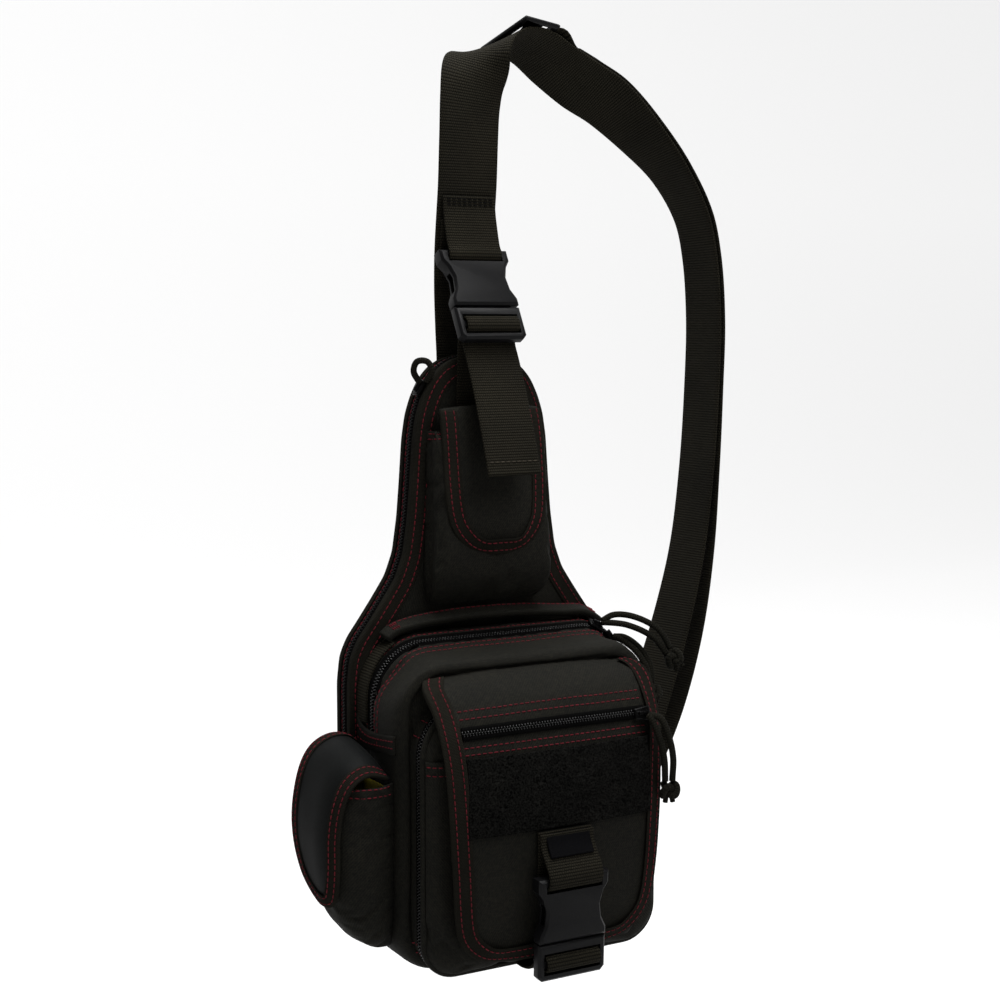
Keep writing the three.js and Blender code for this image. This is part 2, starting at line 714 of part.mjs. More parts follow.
// The right leg, by height: the inner layer's middle line, and the way its width runs.
const rightLeg = [
  { x: 57, y: 11, z: 608, ax: 0.2, ay: -0.93, az: 0.3 },
  { x: 78, y: 13, z: 596.5, ax: 0.15, ay: -0.85, az: 0.5 },
  { x: 98.5, y: 12, z: 584.5, ax: 0.18, ay: -0.76, az: 0.62 },
  { x: 119.7, y: 10, z: 573, ax: 0.2, ay: -0.7, az: 0.68 },
  { x: 148, y: 6, z: 548, ax: 0.25, ay: -0.75, az: 0.6 },
  { x: 170, y: 3, z: 524, ax: 0.25, ay: -0.88, az: 0.42 },
  { x: 188, y: 1, z: 494, ax: 0.22, ay: -0.95, az: 0.25 },
  { x: 195, y: 0, z: 465, ax: 0.15, ay: -0.98, az: 0.12 },
  { x: 199, y: 0, z: 420, ax: 0.1, ay: -1, az: 0 },
  { x: 198, y: 0, z: 370, ax: 0.1, ay: -1, az: 0 },
  { x: 194, y: 0, z: 310, ax: 0.1, ay: -1, az: 0 },
  { x: 186, y: 0, z: 250, ax: 0.12, ay: -1, az: 0 },
  { x: 170, y: -2, z: 195, ax: 0.16, ay: -1, az: 0 },
  { x: 150, y: -5, z: 145, ax: 0.16, ay: -1, az: 0 },
  { x: 131, y: -8, z: 104, ax: 0.12, ay: -1, az: 0 },
];
const layerGap = 5.2;
const ringAt = vec(121.5, -9.5, 73.5);
const ringTurn = [
  { x: 120.5, y: -9, z: 85, ax: 0.06, ay: -1, az: 0 },
  { x: 117.5, y: -9.5, z: 75, ax: 0, ay: -1, az: 0 },
  { x: 119.6, y: -9.5, z: 69.4, ax: 0, ay: -1, az: 0 },
  { x: 124.6, y: -9.5, z: 69.6, ax: 0, ay: -1, az: 0 },
  { x: 127.2, y: -9, z: 75, ax: 0.04, ay: -1, az: 0 },
];
// The outer layer climbs outside the inner one, swung out low down where the two part.
const swing = [0, 0, 0, 0, 0, 0, 0, 0, 0, 0, 1.5, 5, 10, 12, 9];
function outerLayer() {
  const rows = [];
  for (let i = rightLeg.length - 1; i >= 1; i--) {
    const a = rightLeg[i - 1];
    const b = rightLeg[Math.min(rightLeg.length - 1, i + 1)];
    const along = vec(b.x - a.x, b.y - a.y, b.z - a.z).normalize();
    const across = vec(rightLeg[i].ax, rightLeg[i].ay, rightLeg[i].az);
    across.addScaledVector(along, -across.dot(along)).normalize();
    const out = across.clone().cross(along).normalize();
    const off = layerGap + swing[i];
    const r = rightLeg[i];
    rows.push({ ...r, x: r.x + out.x * off, y: r.y + out.y * off, z: r.z + out.z * off });
  }
  for (const past of [6, 0]) {
    const at = sliderEnd.clone().addScaledVector(sliderAlong, past);
    rows.push({ x: at.x, y: at.y, z: at.z, ax: sliderAcross.x, ay: sliderAcross.y, az: sliderAcross.z });
  }
  return rows;
}

// Slider across the strap just past its apex; the outer layer ends at its lower bar.
const sliderLong = 30;
const sliderAlong = vec(17, 2, -2).normalize();
const sliderAcross = vec(0.28, -0.92, 0.28);
sliderAcross.addScaledVector(sliderAlong, -sliderAcross.dot(sliderAlong)).normalize();
const sliderOut = sliderAcross.clone().cross(sliderAlong).normalize();
const sliderAt = vec(48, 10, 609.5).addScaledVector(sliderOut, 3.95);
const sliderEnd = sliderAt.clone().addScaledVector(sliderAlong, sliderLong / 2 + 1);
const strapStations = stationsThrough(
  [...leftLeg, ...arch, ...rightLeg, ...ringTurn, ...outerLayer()],
  98,
);
add("shoulder_strap", webBody(strapStations, strapWidth), webbing);
function sliderBody() {
  const half = strapWidth / 2 + 4;
  const outline = [
    { x: -half, z: sliderLong / 2 },
    { x: -half, z: -sliderLong / 2 },
    { x: half, z: -sliderLong / 2 },
    { x: half, z: sliderLong / 2 },
  ];
  let body = solidOf(plate(outline, 3.4, 1));
  for (const side of [-1, 1]) body = body.subtract(block(strapWidth + 1.4, 20, 7.6, 0, 0, side * 6.2));
  return geometryOf(body);
}
const slider = add("strap_slider", sliderBody(), acetal);
const sliderPlace = new THREE.Matrix4().makeBasis(
  sliderAcross,
  sliderOut,
  sliderAcross.clone().cross(sliderOut).normalize(),
);
sliderPlace.setPosition(sliderAt);
slider.applyMatrix4(sliderPlace);

const ringCurve = new THREE.CatmullRomCurve3(
  [
    vec(0, -26, 5),
    vec(0, 26, 5),
    vec(0, 27, 0),
    vec(0, 24, -12),
    vec(0, 0, -15),
    vec(0, -24, -12),
    vec(0, -27, 0),
  ].map((p) => p.add(ringAt).add(vec(0.8, 0, -1))),
  true,
  "centripetal",
);
const ringBody = new THREE.TubeGeometry(ringCurve, 28, 2, 6, true);
add("strap_ring", ringBody.toNonIndexed(), acetal);
const tabWidth = 18;
const tabTable = [
  { x: 98.9, y: -9.5, z: 40, ax: 0, ay: -1, az: 0 },
  { x: 108, y: -9.5, z: 47, ax: 0, ay: -1, az: 0 },
  { x: 116, y: -9.5, z: 55, ax: 0, ay: -1, az: 0 },
  { x: 120, y: -9.5, z: 61, ax: 0, ay: -1, az: 0 },
  { x: 124, y: -9.5, z: 62, ax: 0, ay: -1, az: 0 },
  { x: 126, y: -9.5, z: 57, ax: 0, ay: -1, az: 0 },
  { x: 120, y: -9.5, z: 48, ax: 0, ay: -1, az: 0 },
  { x: 110, y: -9.5, z: 40, ax: 0, ay: -1, az: 0 },
  { x: 99.6, y: -9.5, z: 33, ax: 0, ay: -1, az: 0 },
];
add("ring_tab", webBody(stationsThrough(tabTable, 24), tabWidth), webbing);

// Buckle at the neck: a webbing loop on the strap holds the socket, the load webbing holds the plug.
const neckBuckle = { at: vec(0, -14.5, 446), tip: radians(-28.5) };
add("strap_buckle_socket", buckleSocket(), acetal, neckBuckle);
add("strap_buckle_plug", bucklePlug(), acetal, neckBuckle);
// A place given in the leaning buckle's own depth and height.
function inBuckle(deep, high) {
  const tip = neckBuckle.tip;
  const y = neckBuckle.at.y + deep * Math.cos(tip) - high * Math.sin(tip);
  const z = neckBuckle.at.z + deep * Math.sin(tip) + high * Math.cos(tip);
  return { x: 0, y, z, ...faceX };
}
const loopTable = [
  { x: 0, y: -0.6, z: 487, ...faceX },
  { x: 0, y: 0.6, z: 474, ...faceX },
  inBuckle(7.2, 21),
  inBuckle(6.9, 17),
  inBuckle(4.6, 14.3),
  inBuckle(0, 14.1),
  inBuckle(-5.2, 14.4),
  inBuckle(-7.2, 17.5),
  inBuckle(-6.9, 22),
  { x: 0, y: -6.6, z: 480, ...faceX },
  { x: 0, y: -3.9, z: 492, ...faceX },
  { x: 0, y: -2.8, z: 503, ...faceX },
];
add("buckle_loop_webbing", webBody(stationsThrough(loopTable, 26), webWidth), webbing);
const loadTable = [
  { x: 0, y: -21.6, z: 349, ...faceX },
  { x: 0, y: -21.6, z: 366, ...faceX },
  { x: 0, y: -22, z: 385, ...faceX },
  { x: 0, y: -23.4, z: 400, ...faceX },
  inBuckle(6.6, -34),
  inBuckle(4.6, -30.6),
  inBuckle(0, -30.3),
  inBuckle(-5, -31),
  inBuckle(-6.4, -35),
  inBuckle(-5, -39),
  inBuckle(0, -39.7),
  inBuckle(4.7, -41),
  inBuckle(6.3, -45),
  { x: 0, y: -35, z: 394, ...faceX },
  { x: 0, y: -43, z: 377, ...faceX },
  { x: 0, y: -51, z: 357, ...faceX },
  { x: 0, y: -58.5, z: 337, ...faceX },
  { x: 0, y: -65, z: 318, ...faceX },
];
add("load_webbing", webBody(stationsThrough(loadTable, 42), webWidth), webbing);

// Carry handle over the top of the main compartment, and the webbing it is sewn to at the sides.
const handleTable = [
  { x: -85.5, y: -28.5, z: 203.6, ax: 0, ay: -0.97, az: -0.2 },
  { x: -81.5, y: -28.5, z: 210.4, ax: 0, ay: -0.95, az: -0.3 },
  { x: -74, y: -28.5, z: 215.8, ax: 0, ay: -0.95, az: -0.3 },
  { x: -56, y: -28.5, z: 220.2, ax: 0, ay: -0.93, az: -0.36 },
  { x: -28, y: -28.5, z: 222.3, ax: 0, ay: -0.92, az: -0.4 },
  { x: 0, y: -28.5, z: 222.7, ax: 0, ay: -0.92, az: -0.4 },
  { x: 28, y: -28.5, z: 222.1, ax: 0, ay: -0.92, az: -0.4 },
  { x: 56, y: -28.5, z: 219.8, ax: 0, ay: -0.93, az: -0.36 },
  { x: 76, y: -28.5, z: 218.2, ax: 0, ay: -0.95, az: -0.3 },
  { x: 85.5, y: -28.5, z: 213.1, ax: 0, ay: -0.95, az: -0.3 },
  { x: 89.75, y: -28.5, z: 207.65, ax: 0, ay: -0.97, az: -0.2 },
];
add("carry_handle", webBody(stationsThrough(handleTable, 28), 13, 3), canvas);

// Side pocket on the left wall, rows by height, and the wide flap that covers it.
const wallX = -93.5 - seam;
const sideTable = [
  { z: 126, reach: 40, front: -79, rear: -27 },
  { z: 110, reach: 44, front: -79.5, rear: -26 },
  { z: 85, reach: 46, front: -79.5, rear: -25 },
  { z: 62, reach: 43.5, front: -79, rear: -25 },
  { z: 46, reach: 38, front: -78, rear: -26 },
  { z: 33, reach: 31, front: -76.5, rear: -28 },
  { z: 23, reach: 19, front: -74, rear: -30 },
  { z: 17, reach: 6, front: -71, rear: -33 },
];
const sideSteps = 14;
function sideSection(row, wall) {
  const list = [];
  const centre = (row.front + row.rear) / 2;
  const deep = (row.rear - row.front) / 2 - wall;
  const reach = row.reach - wall;
  for (let i = 0; i <= sideSteps; i++) {
    const turn = mix(-Math.PI / 2, Math.PI / 2, i / sideSteps);
    const bulge = Math.max(0, Math.cos(turn)) ** 0.62;
    const side = Math.sign(Math.sin(turn)) * Math.abs(Math.sin(turn)) ** 0.62;
    const end = i === 0 ? -93.3 : i === sideSteps ? -92.5 : wallX;
    const clear = i === 0 || i === sideSteps ? wall : 0;
    list.push(vec(end - clear - reach * bulge, centre - deep * side, row.z));
  }
  return list;
}
add(
  "side_pocket",
  sheetBody(
    sideTable.map((r) => sideSection(r, 0)),
    sideTable.map((r) => sideSection(r, 1.6)),
  ),
  canvas,
);
const bandTable = [
  { y: -21.5, top: 161.5 },
  { y: -29, top: 156 },
  { y: -38, top: 153.3 },
  { y: -50, top: 153.6 },
  { y: -62, top: 155 },
  { y: -74, top: 156.5 },
];
add(
  "side_flap_band",
  sheetBody(
    bandTable.map((r) => [vec(wallX - 1.8, r.y, r.top), vec(wallX - 1.8, r.y, 140)]),
    bandTable.map((r) => [vec(wallX, r.y, r.top), vec(wallX, r.y, 140)]),
  ),
  canvas,
);
// Rows from the sewn edge to the hem: front and rear edges, how far the front edge droops and tucks in.
const sideFlapTable = [
  { x: wallX - 4.2, z: 139, front: -73, rear: -22, droop: 11, tuck: 0 },
  { x: -100.6, z: 143.5, front: -75, rear: -20, droop: 12, tuck: 3 },
  { x: -106, z: 147, front: -77, rear: -18.5, droop: 10, tuck: 6 },
  { x: -116, z: 147.6, front: -78, rear: -18.5, droop: 8, tuck: 8 },
  { x: -127.5, z: 143, front: -78.5, rear: -19, droop: 7, tuck: 8 },
  { x: -136, z: 133, front: -78, rear: -20, droop: 6, tuck: 8 },
  { x: -141.6, z: 118, front: -77, rear: -21, droop: 6, tuck: 9 },
  { x: -144.2, z: 100, front: -76, rear: -22, droop: 5, tuck: 10 },
  { x: -144, z: 82, front: -75, rear: -24, droop: 4, tuck: 10.5 },
  { x: -142.4, z: 66, front: -72, rear: -30, droop: 2, tuck: 7.5 },
  { x: -140.6, z: 57, front: -66, rear: -37, droop: 1, tuck: 5 },
  { x: -139.6, z: 52.5, front: -59, rear: -44, droop: 0, tuck: 4 },
];
const rearTuck = 4;
function sideFlapBody(thick) {
  const columns = [0, 0.12, 0.3, 0.5, 0.7, 0.88, 1];
  const outer = [];
  const inner = [];
  sideFlapTable.forEach((row, i) => {
    const a = sideFlapTable[Math.max(0, i - 1)];
    const b = sideFlapTable[Math.min(sideFlapTable.length - 1, i + 1)];
    const long = Math.hypot(b.x - a.x, b.z - a.z);
    const nx = -(b.z - a.z) / long;
    const nz = (b.x - a.x) / long;
    const free = Math.min(1, i / 3);
    const place = (t, off) => {
      const tuck = (t < 0.5 ? row.tuck : rearTuck * free) * Math.abs(2 * t - 1) ** 3;
      const shift = off + tuck;
      const droop = row.droop * (1 - t) ** 1.6;
      return vec(row.x + nx * shift, mix(row.front, row.rear, t), row.z + nz * shift - droop);
    };
    outer.push(columns.map((t) => place(t, -thick)));
    inner.push(columns.map((t) => place(t, 0)));
  });
  return sheetBody(outer, inner);
}
add("side_flap", sideFlapBody(1.9), smoothCloth);
add(
  "side_pocket_lining",
  sheetBody(
    [-34, -52, -72].map((y) => [vec(wallX - 1.2, y, 138), vec(wallX - 1.2, y, 70)]),
    [-34, -52, -72].map((y) => [vec(wallX, y, 138), vec(wallX, y, 70)]),
  ),
  liningCloth,
);

// Webbing beside the zip: from the handle's ends down the shoulders of the compartment.
function shoulderWeb(from, to) {
  const ring = insetRing(boxRing({ half: 93, top: 212.5, bottom: 1.5, left: 39, right: 25, low: 25 }), -seam);
  const outside = insetRing(ring, -webThick);
  const list = [];
  const under = [];
  for (let i = from; i <= to; i++) {
    list.push([vec(outside[i].x, -21.5, outside[i].z), vec(outside[i].x, -34.5, outside[i].z)]);
    under.push([vec(ring[i].x, -21.5, ring[i].z), vec(ring[i].x, -34.5, ring[i].z)]);
  }
  return sheetBody(list, under);
}
add("shoulder_webbing_left", shoulderWeb(cornerPoints, cornerPoints + 4), webbing);
add("shoulder_webbing_right", shoulderWeb(2 * cornerPoints + 1, 2 * cornerPoints + 5), webbing);

// Zip sliders: a rounded body with a bridge, each laid on its zip.
function zipSlider() {
  let body = solidOf(
    plate(
      [
        { x: -5, z: 6 },
        { x: -3.6, z: -6 },
        { x: 3.6, z: -6 },
        { x: 5, z: 6 },
      ],
      2.6,
      0.8,
    ),
  );
  body = body.add(block(2.2, 2.4, 8, 0, -2.2, 0));
  return geometryOf(body);
}
// Each row: where the slider lies, the way out of its zip, and the way it runs.
const sliders = [
  { name: "shell_zip_slider", at: vec(-42.95, -12.2, 374.6), out: vec(-0.83, 0, 0.55), run: vec(0.55, 0, 0.83) },
  { name: "main_zip_slider_upper", at: vec(79.7, -40.45, 208.4), out: vec(0.36, -0.5, 0.78), run: vec(0.9, 0, -0.42) },
  { name: "main_zip_slider_lower", at: vec(90.4, -40.05, 199.3), out: vec(0.75, -0.3, 0.58), run: vec(0.6, 0, -0.8) },
  { name: "flap_zip_slider", at: vec(64.5, -119.9, 162.5), out: vec(0, -0.92, 0.39), run: vec(1, 0, 0) },
];
for (const row of sliders) {
  const run = row.run.clone().normalize();
  const out = row.out.clone().normalize();
  const side = out.clone().cross(run).normalize();
  const place = new THREE.Matrix4().makeBasis(side.clone().negate(), out.clone().negate(), run);
  const straight = place.determinant() > 0 ? place : new THREE.Matrix4().makeBasis(side, out.clone().negate(), run);
  straight.setPosition(row.at);
  add(row.name, zipSlider(), zipper).applyMatrix4(straight);
}

// Pull cords: two strands from each slider to a knot, and one closed loop at the top of the neck.
const knotProfile = [
  { r: 0, z: 0 },
  { r: 4.2, z: 0.6 },
  { r: 5.6, z: 3 },
  { r: 5.2, z: 6 },
  { r: 5.8, z: 9 },
  { r: 4.8, z: 12 },
  { r: 3.6, z: 16 },
  { r: 2.8, z: 21 },
  { r: 0, z: 22 },
];
function pull(name, points, side, apart, knotGap) {
  const shift = (sign) =>
    points.map((p, i) => {
      const spread = cordThick / 2 + 0.3 + apart * Math.sin((Math.PI * i) / (points.length - 1));
      return p.clone().addScaledVector(side, sign * spread);
    });
  add(name + "_cord_a", cordBody(shift(-1)), cordage);
  add(name + "_cord_b", cordBody(shift(1)), cordage);
  const end = points[points.length - 1];
  const down = end.clone().sub(points[points.length - 2]).normalize();
  const geometry = new THREE.LatheGeometry(knotProfile.map((k) => new THREE.Vector2(k.r, k.z)), 10);
  geometry.applyQuaternion(new THREE.Quaternion().setFromUnitVectors(vec(0, 1, 0), down));
  const top = end.clone().addScaledVector(down, knotGap);
  geometry.translate(top.x, top.y, top.z);
  add(name + "_knot", geometry, cordage);
}
pull(
  "main_pull_upper",
  [vec(86.8, -42.7, 211.7), vec(100, -53.4, 211.4), vec(114.4, -63.4, 202.8), vec(121.6, -68.4, 190.2)],
  vec(0.6, -0.1, 0.79).normalize(),
  1.2,
  0.95,
);
pull(
  "main_pull_lower",
  [vec(96.9, -42, 198), vec(105.2, -53.1, 191.6), vec(108.8, -62.1, 180.4), vec(108.3, -66.1, 168.4)],
  vec(0.85, 0.5, 0.1).normalize(),
  1,
  0.8,
);
pull(
  "flap_pull",
  [vec(70.2, -124.9, 161.2), vec(76.5, -130.2, 149), vec(81.5, -131.5, 133), vec(83, -130.5, 116)],
  vec(0.95, -0.3, 0).normalize(),
  2.2,
  0.2,
);
add(
  "shell_pull_cord",
  cordBody(
    [
      vec(-46.6, -11.8, 377.6),
      vec(-52, -13, 390),
      vec(-48.5, -19, 399),
      vec(-40.5, -25, 398),
      vec(-37.5, -27.5, 388),
      vec(-42.5, -26, 377.5),
    ],
    12,
  ),
  cordage,
);

// The part hangs from the underside of the strap's arch, which is its origin.
const hang = vec(apex.x, apex.y, apex.z - webThick / 2);
bag.position.copy(hang.negate());
const chestBag = new THREE.Group();
chestBag.add(bag);

export default chestBag;
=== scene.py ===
import math

import bpy
import numpy as np
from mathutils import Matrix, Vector


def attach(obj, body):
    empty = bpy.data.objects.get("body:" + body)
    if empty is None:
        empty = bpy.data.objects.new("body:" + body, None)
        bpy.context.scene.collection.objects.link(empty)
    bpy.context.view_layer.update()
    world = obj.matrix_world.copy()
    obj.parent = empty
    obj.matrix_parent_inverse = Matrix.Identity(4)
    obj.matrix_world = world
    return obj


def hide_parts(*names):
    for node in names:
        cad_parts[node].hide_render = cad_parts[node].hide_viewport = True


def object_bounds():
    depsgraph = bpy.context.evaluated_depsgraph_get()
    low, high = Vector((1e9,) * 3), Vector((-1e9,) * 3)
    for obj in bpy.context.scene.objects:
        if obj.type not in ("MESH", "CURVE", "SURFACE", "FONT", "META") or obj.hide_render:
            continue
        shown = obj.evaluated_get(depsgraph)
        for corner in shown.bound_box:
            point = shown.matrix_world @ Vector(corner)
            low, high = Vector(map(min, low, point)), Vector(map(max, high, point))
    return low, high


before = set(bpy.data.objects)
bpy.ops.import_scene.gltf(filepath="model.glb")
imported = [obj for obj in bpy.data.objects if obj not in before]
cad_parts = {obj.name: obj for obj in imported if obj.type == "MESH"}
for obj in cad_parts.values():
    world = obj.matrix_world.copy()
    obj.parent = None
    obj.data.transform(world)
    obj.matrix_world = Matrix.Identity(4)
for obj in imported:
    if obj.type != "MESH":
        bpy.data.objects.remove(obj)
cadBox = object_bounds()

# The tables below are in millimetres, y 0 at the bag's back and z 0 at its foot; the frame hangs from this point.
hangPoint = np.array([40.0, 9.0, 609.05])


def rowPlace(points):
    return (np.asarray(points, float) - hangPoint) / 1000


def mix(a, b, t):
    return a + (b - a) * t


def unit(v):
    v = np.asarray(v, float)
    return v / np.maximum(np.linalg.norm(v, axis=-1, keepdims=True), 1e-9)


def smoothRows(rows, count):  # a smooth run of rows through the rows of a table
    rows = np.asarray(rows, float)
    t = np.linspace(0, len(rows) - 1, count)
    i = np.minimum(t.astype(int), len(rows) - 2)
    f = (t - i)[:, None]
    a, b, c, d = rows[np.maximum(i - 1, 0)], rows[i], rows[i + 1], rows[np.minimum(i + 2, len(rows) - 1)]
    return 0.5 * (2 * b + (c - a) * f + (2 * a - 5 * b + 4 * c - d) * f**2 + (3 * b - a - 3 * c + d) * f**3)


def straightRows(rows, count):
    rows = np.asarray(rows, float)
    t = np.linspace(0, len(rows) - 1, count)
    return np.stack([np.interp(t, range(len(rows)), rows[:, k]) for k in range(rows.shape[1])], 1)


def runLength(path):
    steps = np.linalg.norm(np.diff(path, axis=0), axis=1)
    return np.concatenate([[0], np.cumsum(steps)])


def evenly(path, step):  # the same path with points a fixed step apart
    path = np.asarray(path, float)
    along = runLength(path[:, :3])
    at = np.linspace(0, along[-1], max(2, int(round(along[-1] / step)) + 1))
    return np.stack([np.interp(at, along, path[:, k]) for k in range(path.shape[1])], 1)


def softNoise(points, size, seed):  # smooth value noise from -1 to 1, always the same for a seed
    q = np.asarray(points, float) / size + seed * 7.31
    cell = np.floor(q)
    f = q - cell
    f = f * f * (3 - 2 * f)
    total = 0
    for corner in np.ndindex(2, 2, 2):
        knot = (cell + corner) @ np.array([127.1, 311.7, 74.7]) + seed * 17.3
        value = np.mod(np.sin(knot) * 43758.5453, 1.0)
        weight = np.prod(np.where(np.array(corner) == 1, f, 1 - f), axis=-1)
        total = total + weight * value
    return 2 * total - 1


# Mesh building

def linked(name, data):
    obj = bpy.data.objects.new(name, data)
    bpy.context.collection.objects.link(obj)
    return obj


def modifier(obj, kind, **settings):
    made = obj.modifiers.new(kind.lower(), kind)
    for key, value in settings.items():
        setattr(made, key, value)
    return made


def meshPiece(name, verts, faces, uvs, material):
    mesh = bpy.data.meshes.new(name)
    mesh.from_pydata(rowPlace(verts).tolist(), [], faces)
    layer = mesh.uv_layers.new(name="flat")
    corner = np.empty(len(mesh.loops), dtype=np.int32)
    mesh.loops.foreach_get("vertex_index", corner)
    layer.data.foreach_set("uv", (np.asarray(uvs, float) / 1000)[corner].ravel())
    mesh.polygons.foreach_set("use_smooth", [True] * len(mesh.polygons))
    mesh.materials.append(material)
    return linked(name, mesh)


def place(obj, slot, *nodes):  # every piece rides on the bag, and the frame's parts that it stands for are hidden
    obj.name = obj.name.replace(" ", "_")
    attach(obj, "root")
    if nodes:
        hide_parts(*nodes)
    return obj


def gridNormals(grid, closed, flip):
    if closed:
        along = np.roll(grid, -1, 0) - np.roll(grid, 1, 0)
    else:
        along = np.gradient(grid, axis=0)
    across = np.gradient(grid, axis=1)
    normal = np.cross(along, across)
    for _ in range(2):  # slim corner cells lean on their larger neighbours
        wide = np.pad(normal, ((1, 1), (1, 1), (0, 0)), "wrap" if closed else "edge")
        if closed:
            wide[:, 0], wide[:, -1] = wide[:, 1], wide[:, -2]
        normal = wide[1:-1, 1:-1] * 2 + wide[:-2, 1:-1] + wide[2:, 1:-1] + wide[1:-1, :-2] + wide[1:-1, 2:]
    normal = unit(normal)
    return -normal if flip else normal


def quads(numbers):  # the faces between the points of a grid of vertex numbers
    return np.stack([numbers[:-1, :-1], numbers[1:, :-1], numbers[1:, 1:], numbers[:-1, 1:]], -1).reshape(-1, 4)


class Sheet:  # one cut of cloth as a grid of points, with its outer side known
    def __init__(self, grid, closed=False):
        self.grid = np.asarray(grid, float)
        self.closed = closed
        self.flip = False

    def normals(self):
        return gridNormals(self.grid, self.closed, self.flip)

    def push(self, amount):  # moves the cloth out along its own face
        self.grid = self.grid + self.normals() * np.asarray(amount)[..., None]
        return self

    def crease(self, height, size, seed, hold=1):
        waves = softNoise(self.grid, size, seed) + 0.45 * softNoise(self.grid, size * 0.45, seed + 3)
        return self.push(height * waves * hold)

    def wrinkle(self, height, size, seed, margin):  # creases that die out at the sewn edges
        return self.crease(height, size, seed, self.edgeFade(margin))

    def edgeFade(self, margin):  # 0 along the sewn edges, 1 a margin of rows inside
        n, m = self.grid.shape[:2]
        across = np.minimum(np.arange(m), np.arange(m)[::-1]) / margin
        along = np.ones(n) * margin if self.closed else np.minimum(np.arange(n), np.arange(n)[::-1]) / margin
        return np.clip(along, 0, 1)[:, None] * np.clip(across, 0, 1)[None, :]

    def line(self, along, across, step=1.0):  # a path on the cloth, given by its shares along and across
        n, m = self.grid.shape[:2]
        rows = np.asarray(along, float) * (n if self.closed else n - 1)
        cols = np.clip(np.asarray(across, float) * (m - 1), 0, m - 1)
        i = np.floor(rows).astype(int)
        if self.closed:
            f, i, k = rows - i, i % n, (i + 1) % n
        else:
            i = np.clip(i, 0, n - 2)
            f, k = np.clip(rows, 0, n - 1) - i, i + 1
        j = np.clip(np.floor(cols).astype(int), 0, m - 2)
        f, g = f[:, None], (cols - j)[:, None]
        pick = lambda a: mix(mix(a[i, j], a[k, j], f), mix(a[i, j + 1], a[k, j + 1], f), g)
        both = evenly(np.hstack([pick(self.grid), pick(self.normals())]), step)
        return both[:, :3], unit(both[:, 3:])

    def level(self, share, start=0.02, stop=0.98, count=70):  # a path straight across, at one share along
        return self.line(np.full(count, share), np.linspace(start, stop, count))

    def faces(self):  # vertex numbers, a ring's first row again at its end, and the outer faces between them
        n, m = self.grid.shape[:2]
        numbers = np.arange(n * m).reshape(n, m)
        if self.closed:
            numbers = np.vstack([numbers, numbers[:1]])
        outer = quads(numbers)
        return numbers, outer[:, ::-1] if self.flip else outer

    def build(self, name, thick, material, flat=None):
        outer, normal = self.grid, self.normals()
        n, m = outer.shape[:2]
        u = runLength(outer.mean(axis=1))
        v = runLength(outer[0] if self.closed else outer.mean(axis=0))
        verts = np.concatenate([outer.reshape(-1, 3), (outer - normal * thick).reshape(-1, 3)])
        flat = (np.stack(np.meshgrid(v, u), -1) if flat is None else flat).reshape(-1, 2)
        numbers, top = self.faces()
        low = top[:, ::-1] + n * m
        rims = [numbers[:, 0], numbers[::-1, -1]] + ([] if self.closed else [numbers[0, ::-1], numbers[-1]])
        wall = np.concatenate([np.stack([r[1:], r[:-1], r[:-1] + n * m, r[1:] + n * m], -1) for r in rims])
        if self.flip:
            wall = wall[:, ::-1]
        return meshPiece(name, verts, np.concatenate([top, low, wall]).tolist(), np.concatenate([flat, flat]), material)


def faceAway(made, direction):  # turns the cut so that its outer side looks one way
    if np.mean(made.normals() @ np.asarray(direction, float)) < 0:
        made.flip = not made.flip
    return made


def outwardSheet(grid, closed, middle):  # a cut whose outer side looks away from a point
    made = Sheet(grid, closed)
    made.flip = np.mean(np.sum(made.normals() * (made.grid - np.asarray(middle)), -1)) < 0
    return made


settling = {"steps": 16, "scale": 100.0, "unevenness": 0.25}  # the scale suits the simulation's own tolerances
clothSettings = {
    "quality": 5, "mass": 0.3, "tension_stiffness": 30, "compression_stiffness": 30, "bending_stiffness": 1.5,
    "vertex_group_mass": "sewn", "use_pressure": True, "uniform_pressure_force": 4,
}


def settle(sheet, swell, cap, seed, held=False):  # cloth simulation of one cut: sewn edges held, the rest swells
    pinned = np.zeros(sheet.grid.shape[:2], bool) | held
    pinned[:, 0] = pinned[:, -1] = True
    if not sheet.closed:
        pinned[0] = pinned[-1] = True
    start = sheet.grid + sheet.normals() * (settling["unevenness"] * softNoise(sheet.grid, 17, seed))[..., None]
    mesh = bpy.data.meshes.new("settling")
    mesh.from_pydata((start.reshape(-1, 3) / settling["scale"]).tolist(), [], sheet.faces()[1].tolist())
    obj = linked("settling", mesh)
    group = obj.vertex_groups.new(name="sewn")
    group.add(np.flatnonzero(pinned.ravel()).tolist(), 1.0, "REPLACE")
    cloth = modifier(obj, "CLOTH")
    for key, value in clothSettings.items():
        setattr(cloth.settings, key, value)
    cloth.settings.shrink_min = -swell
    cloth.settings.effector_weights.gravity = 0
    cloth.point_cache.frame_end = settling["steps"]
    scene = bpy.context.scene
    for step in range(1, settling["steps"] + 1):
        scene.frame_set(step)
    shaped = obj.evaluated_get(bpy.context.evaluated_depsgraph_get()).to_mesh()
    moved = np.empty(sheet.grid.size, dtype=np.float32)
    shaped.vertices.foreach_get("co", moved)
    shift = np.nan_to_num(moved.reshape(sheet.grid.shape) * settling["scale"] - sheet.grid)
    far = np.linalg.norm(shift, axis=-1, keepdims=True)
    sheet.grid = sheet.grid + shift * np.minimum(1, cap / np.maximum(far, 1e-6))
    bpy.data.objects.remove(obj)
    scene.frame_set(1)


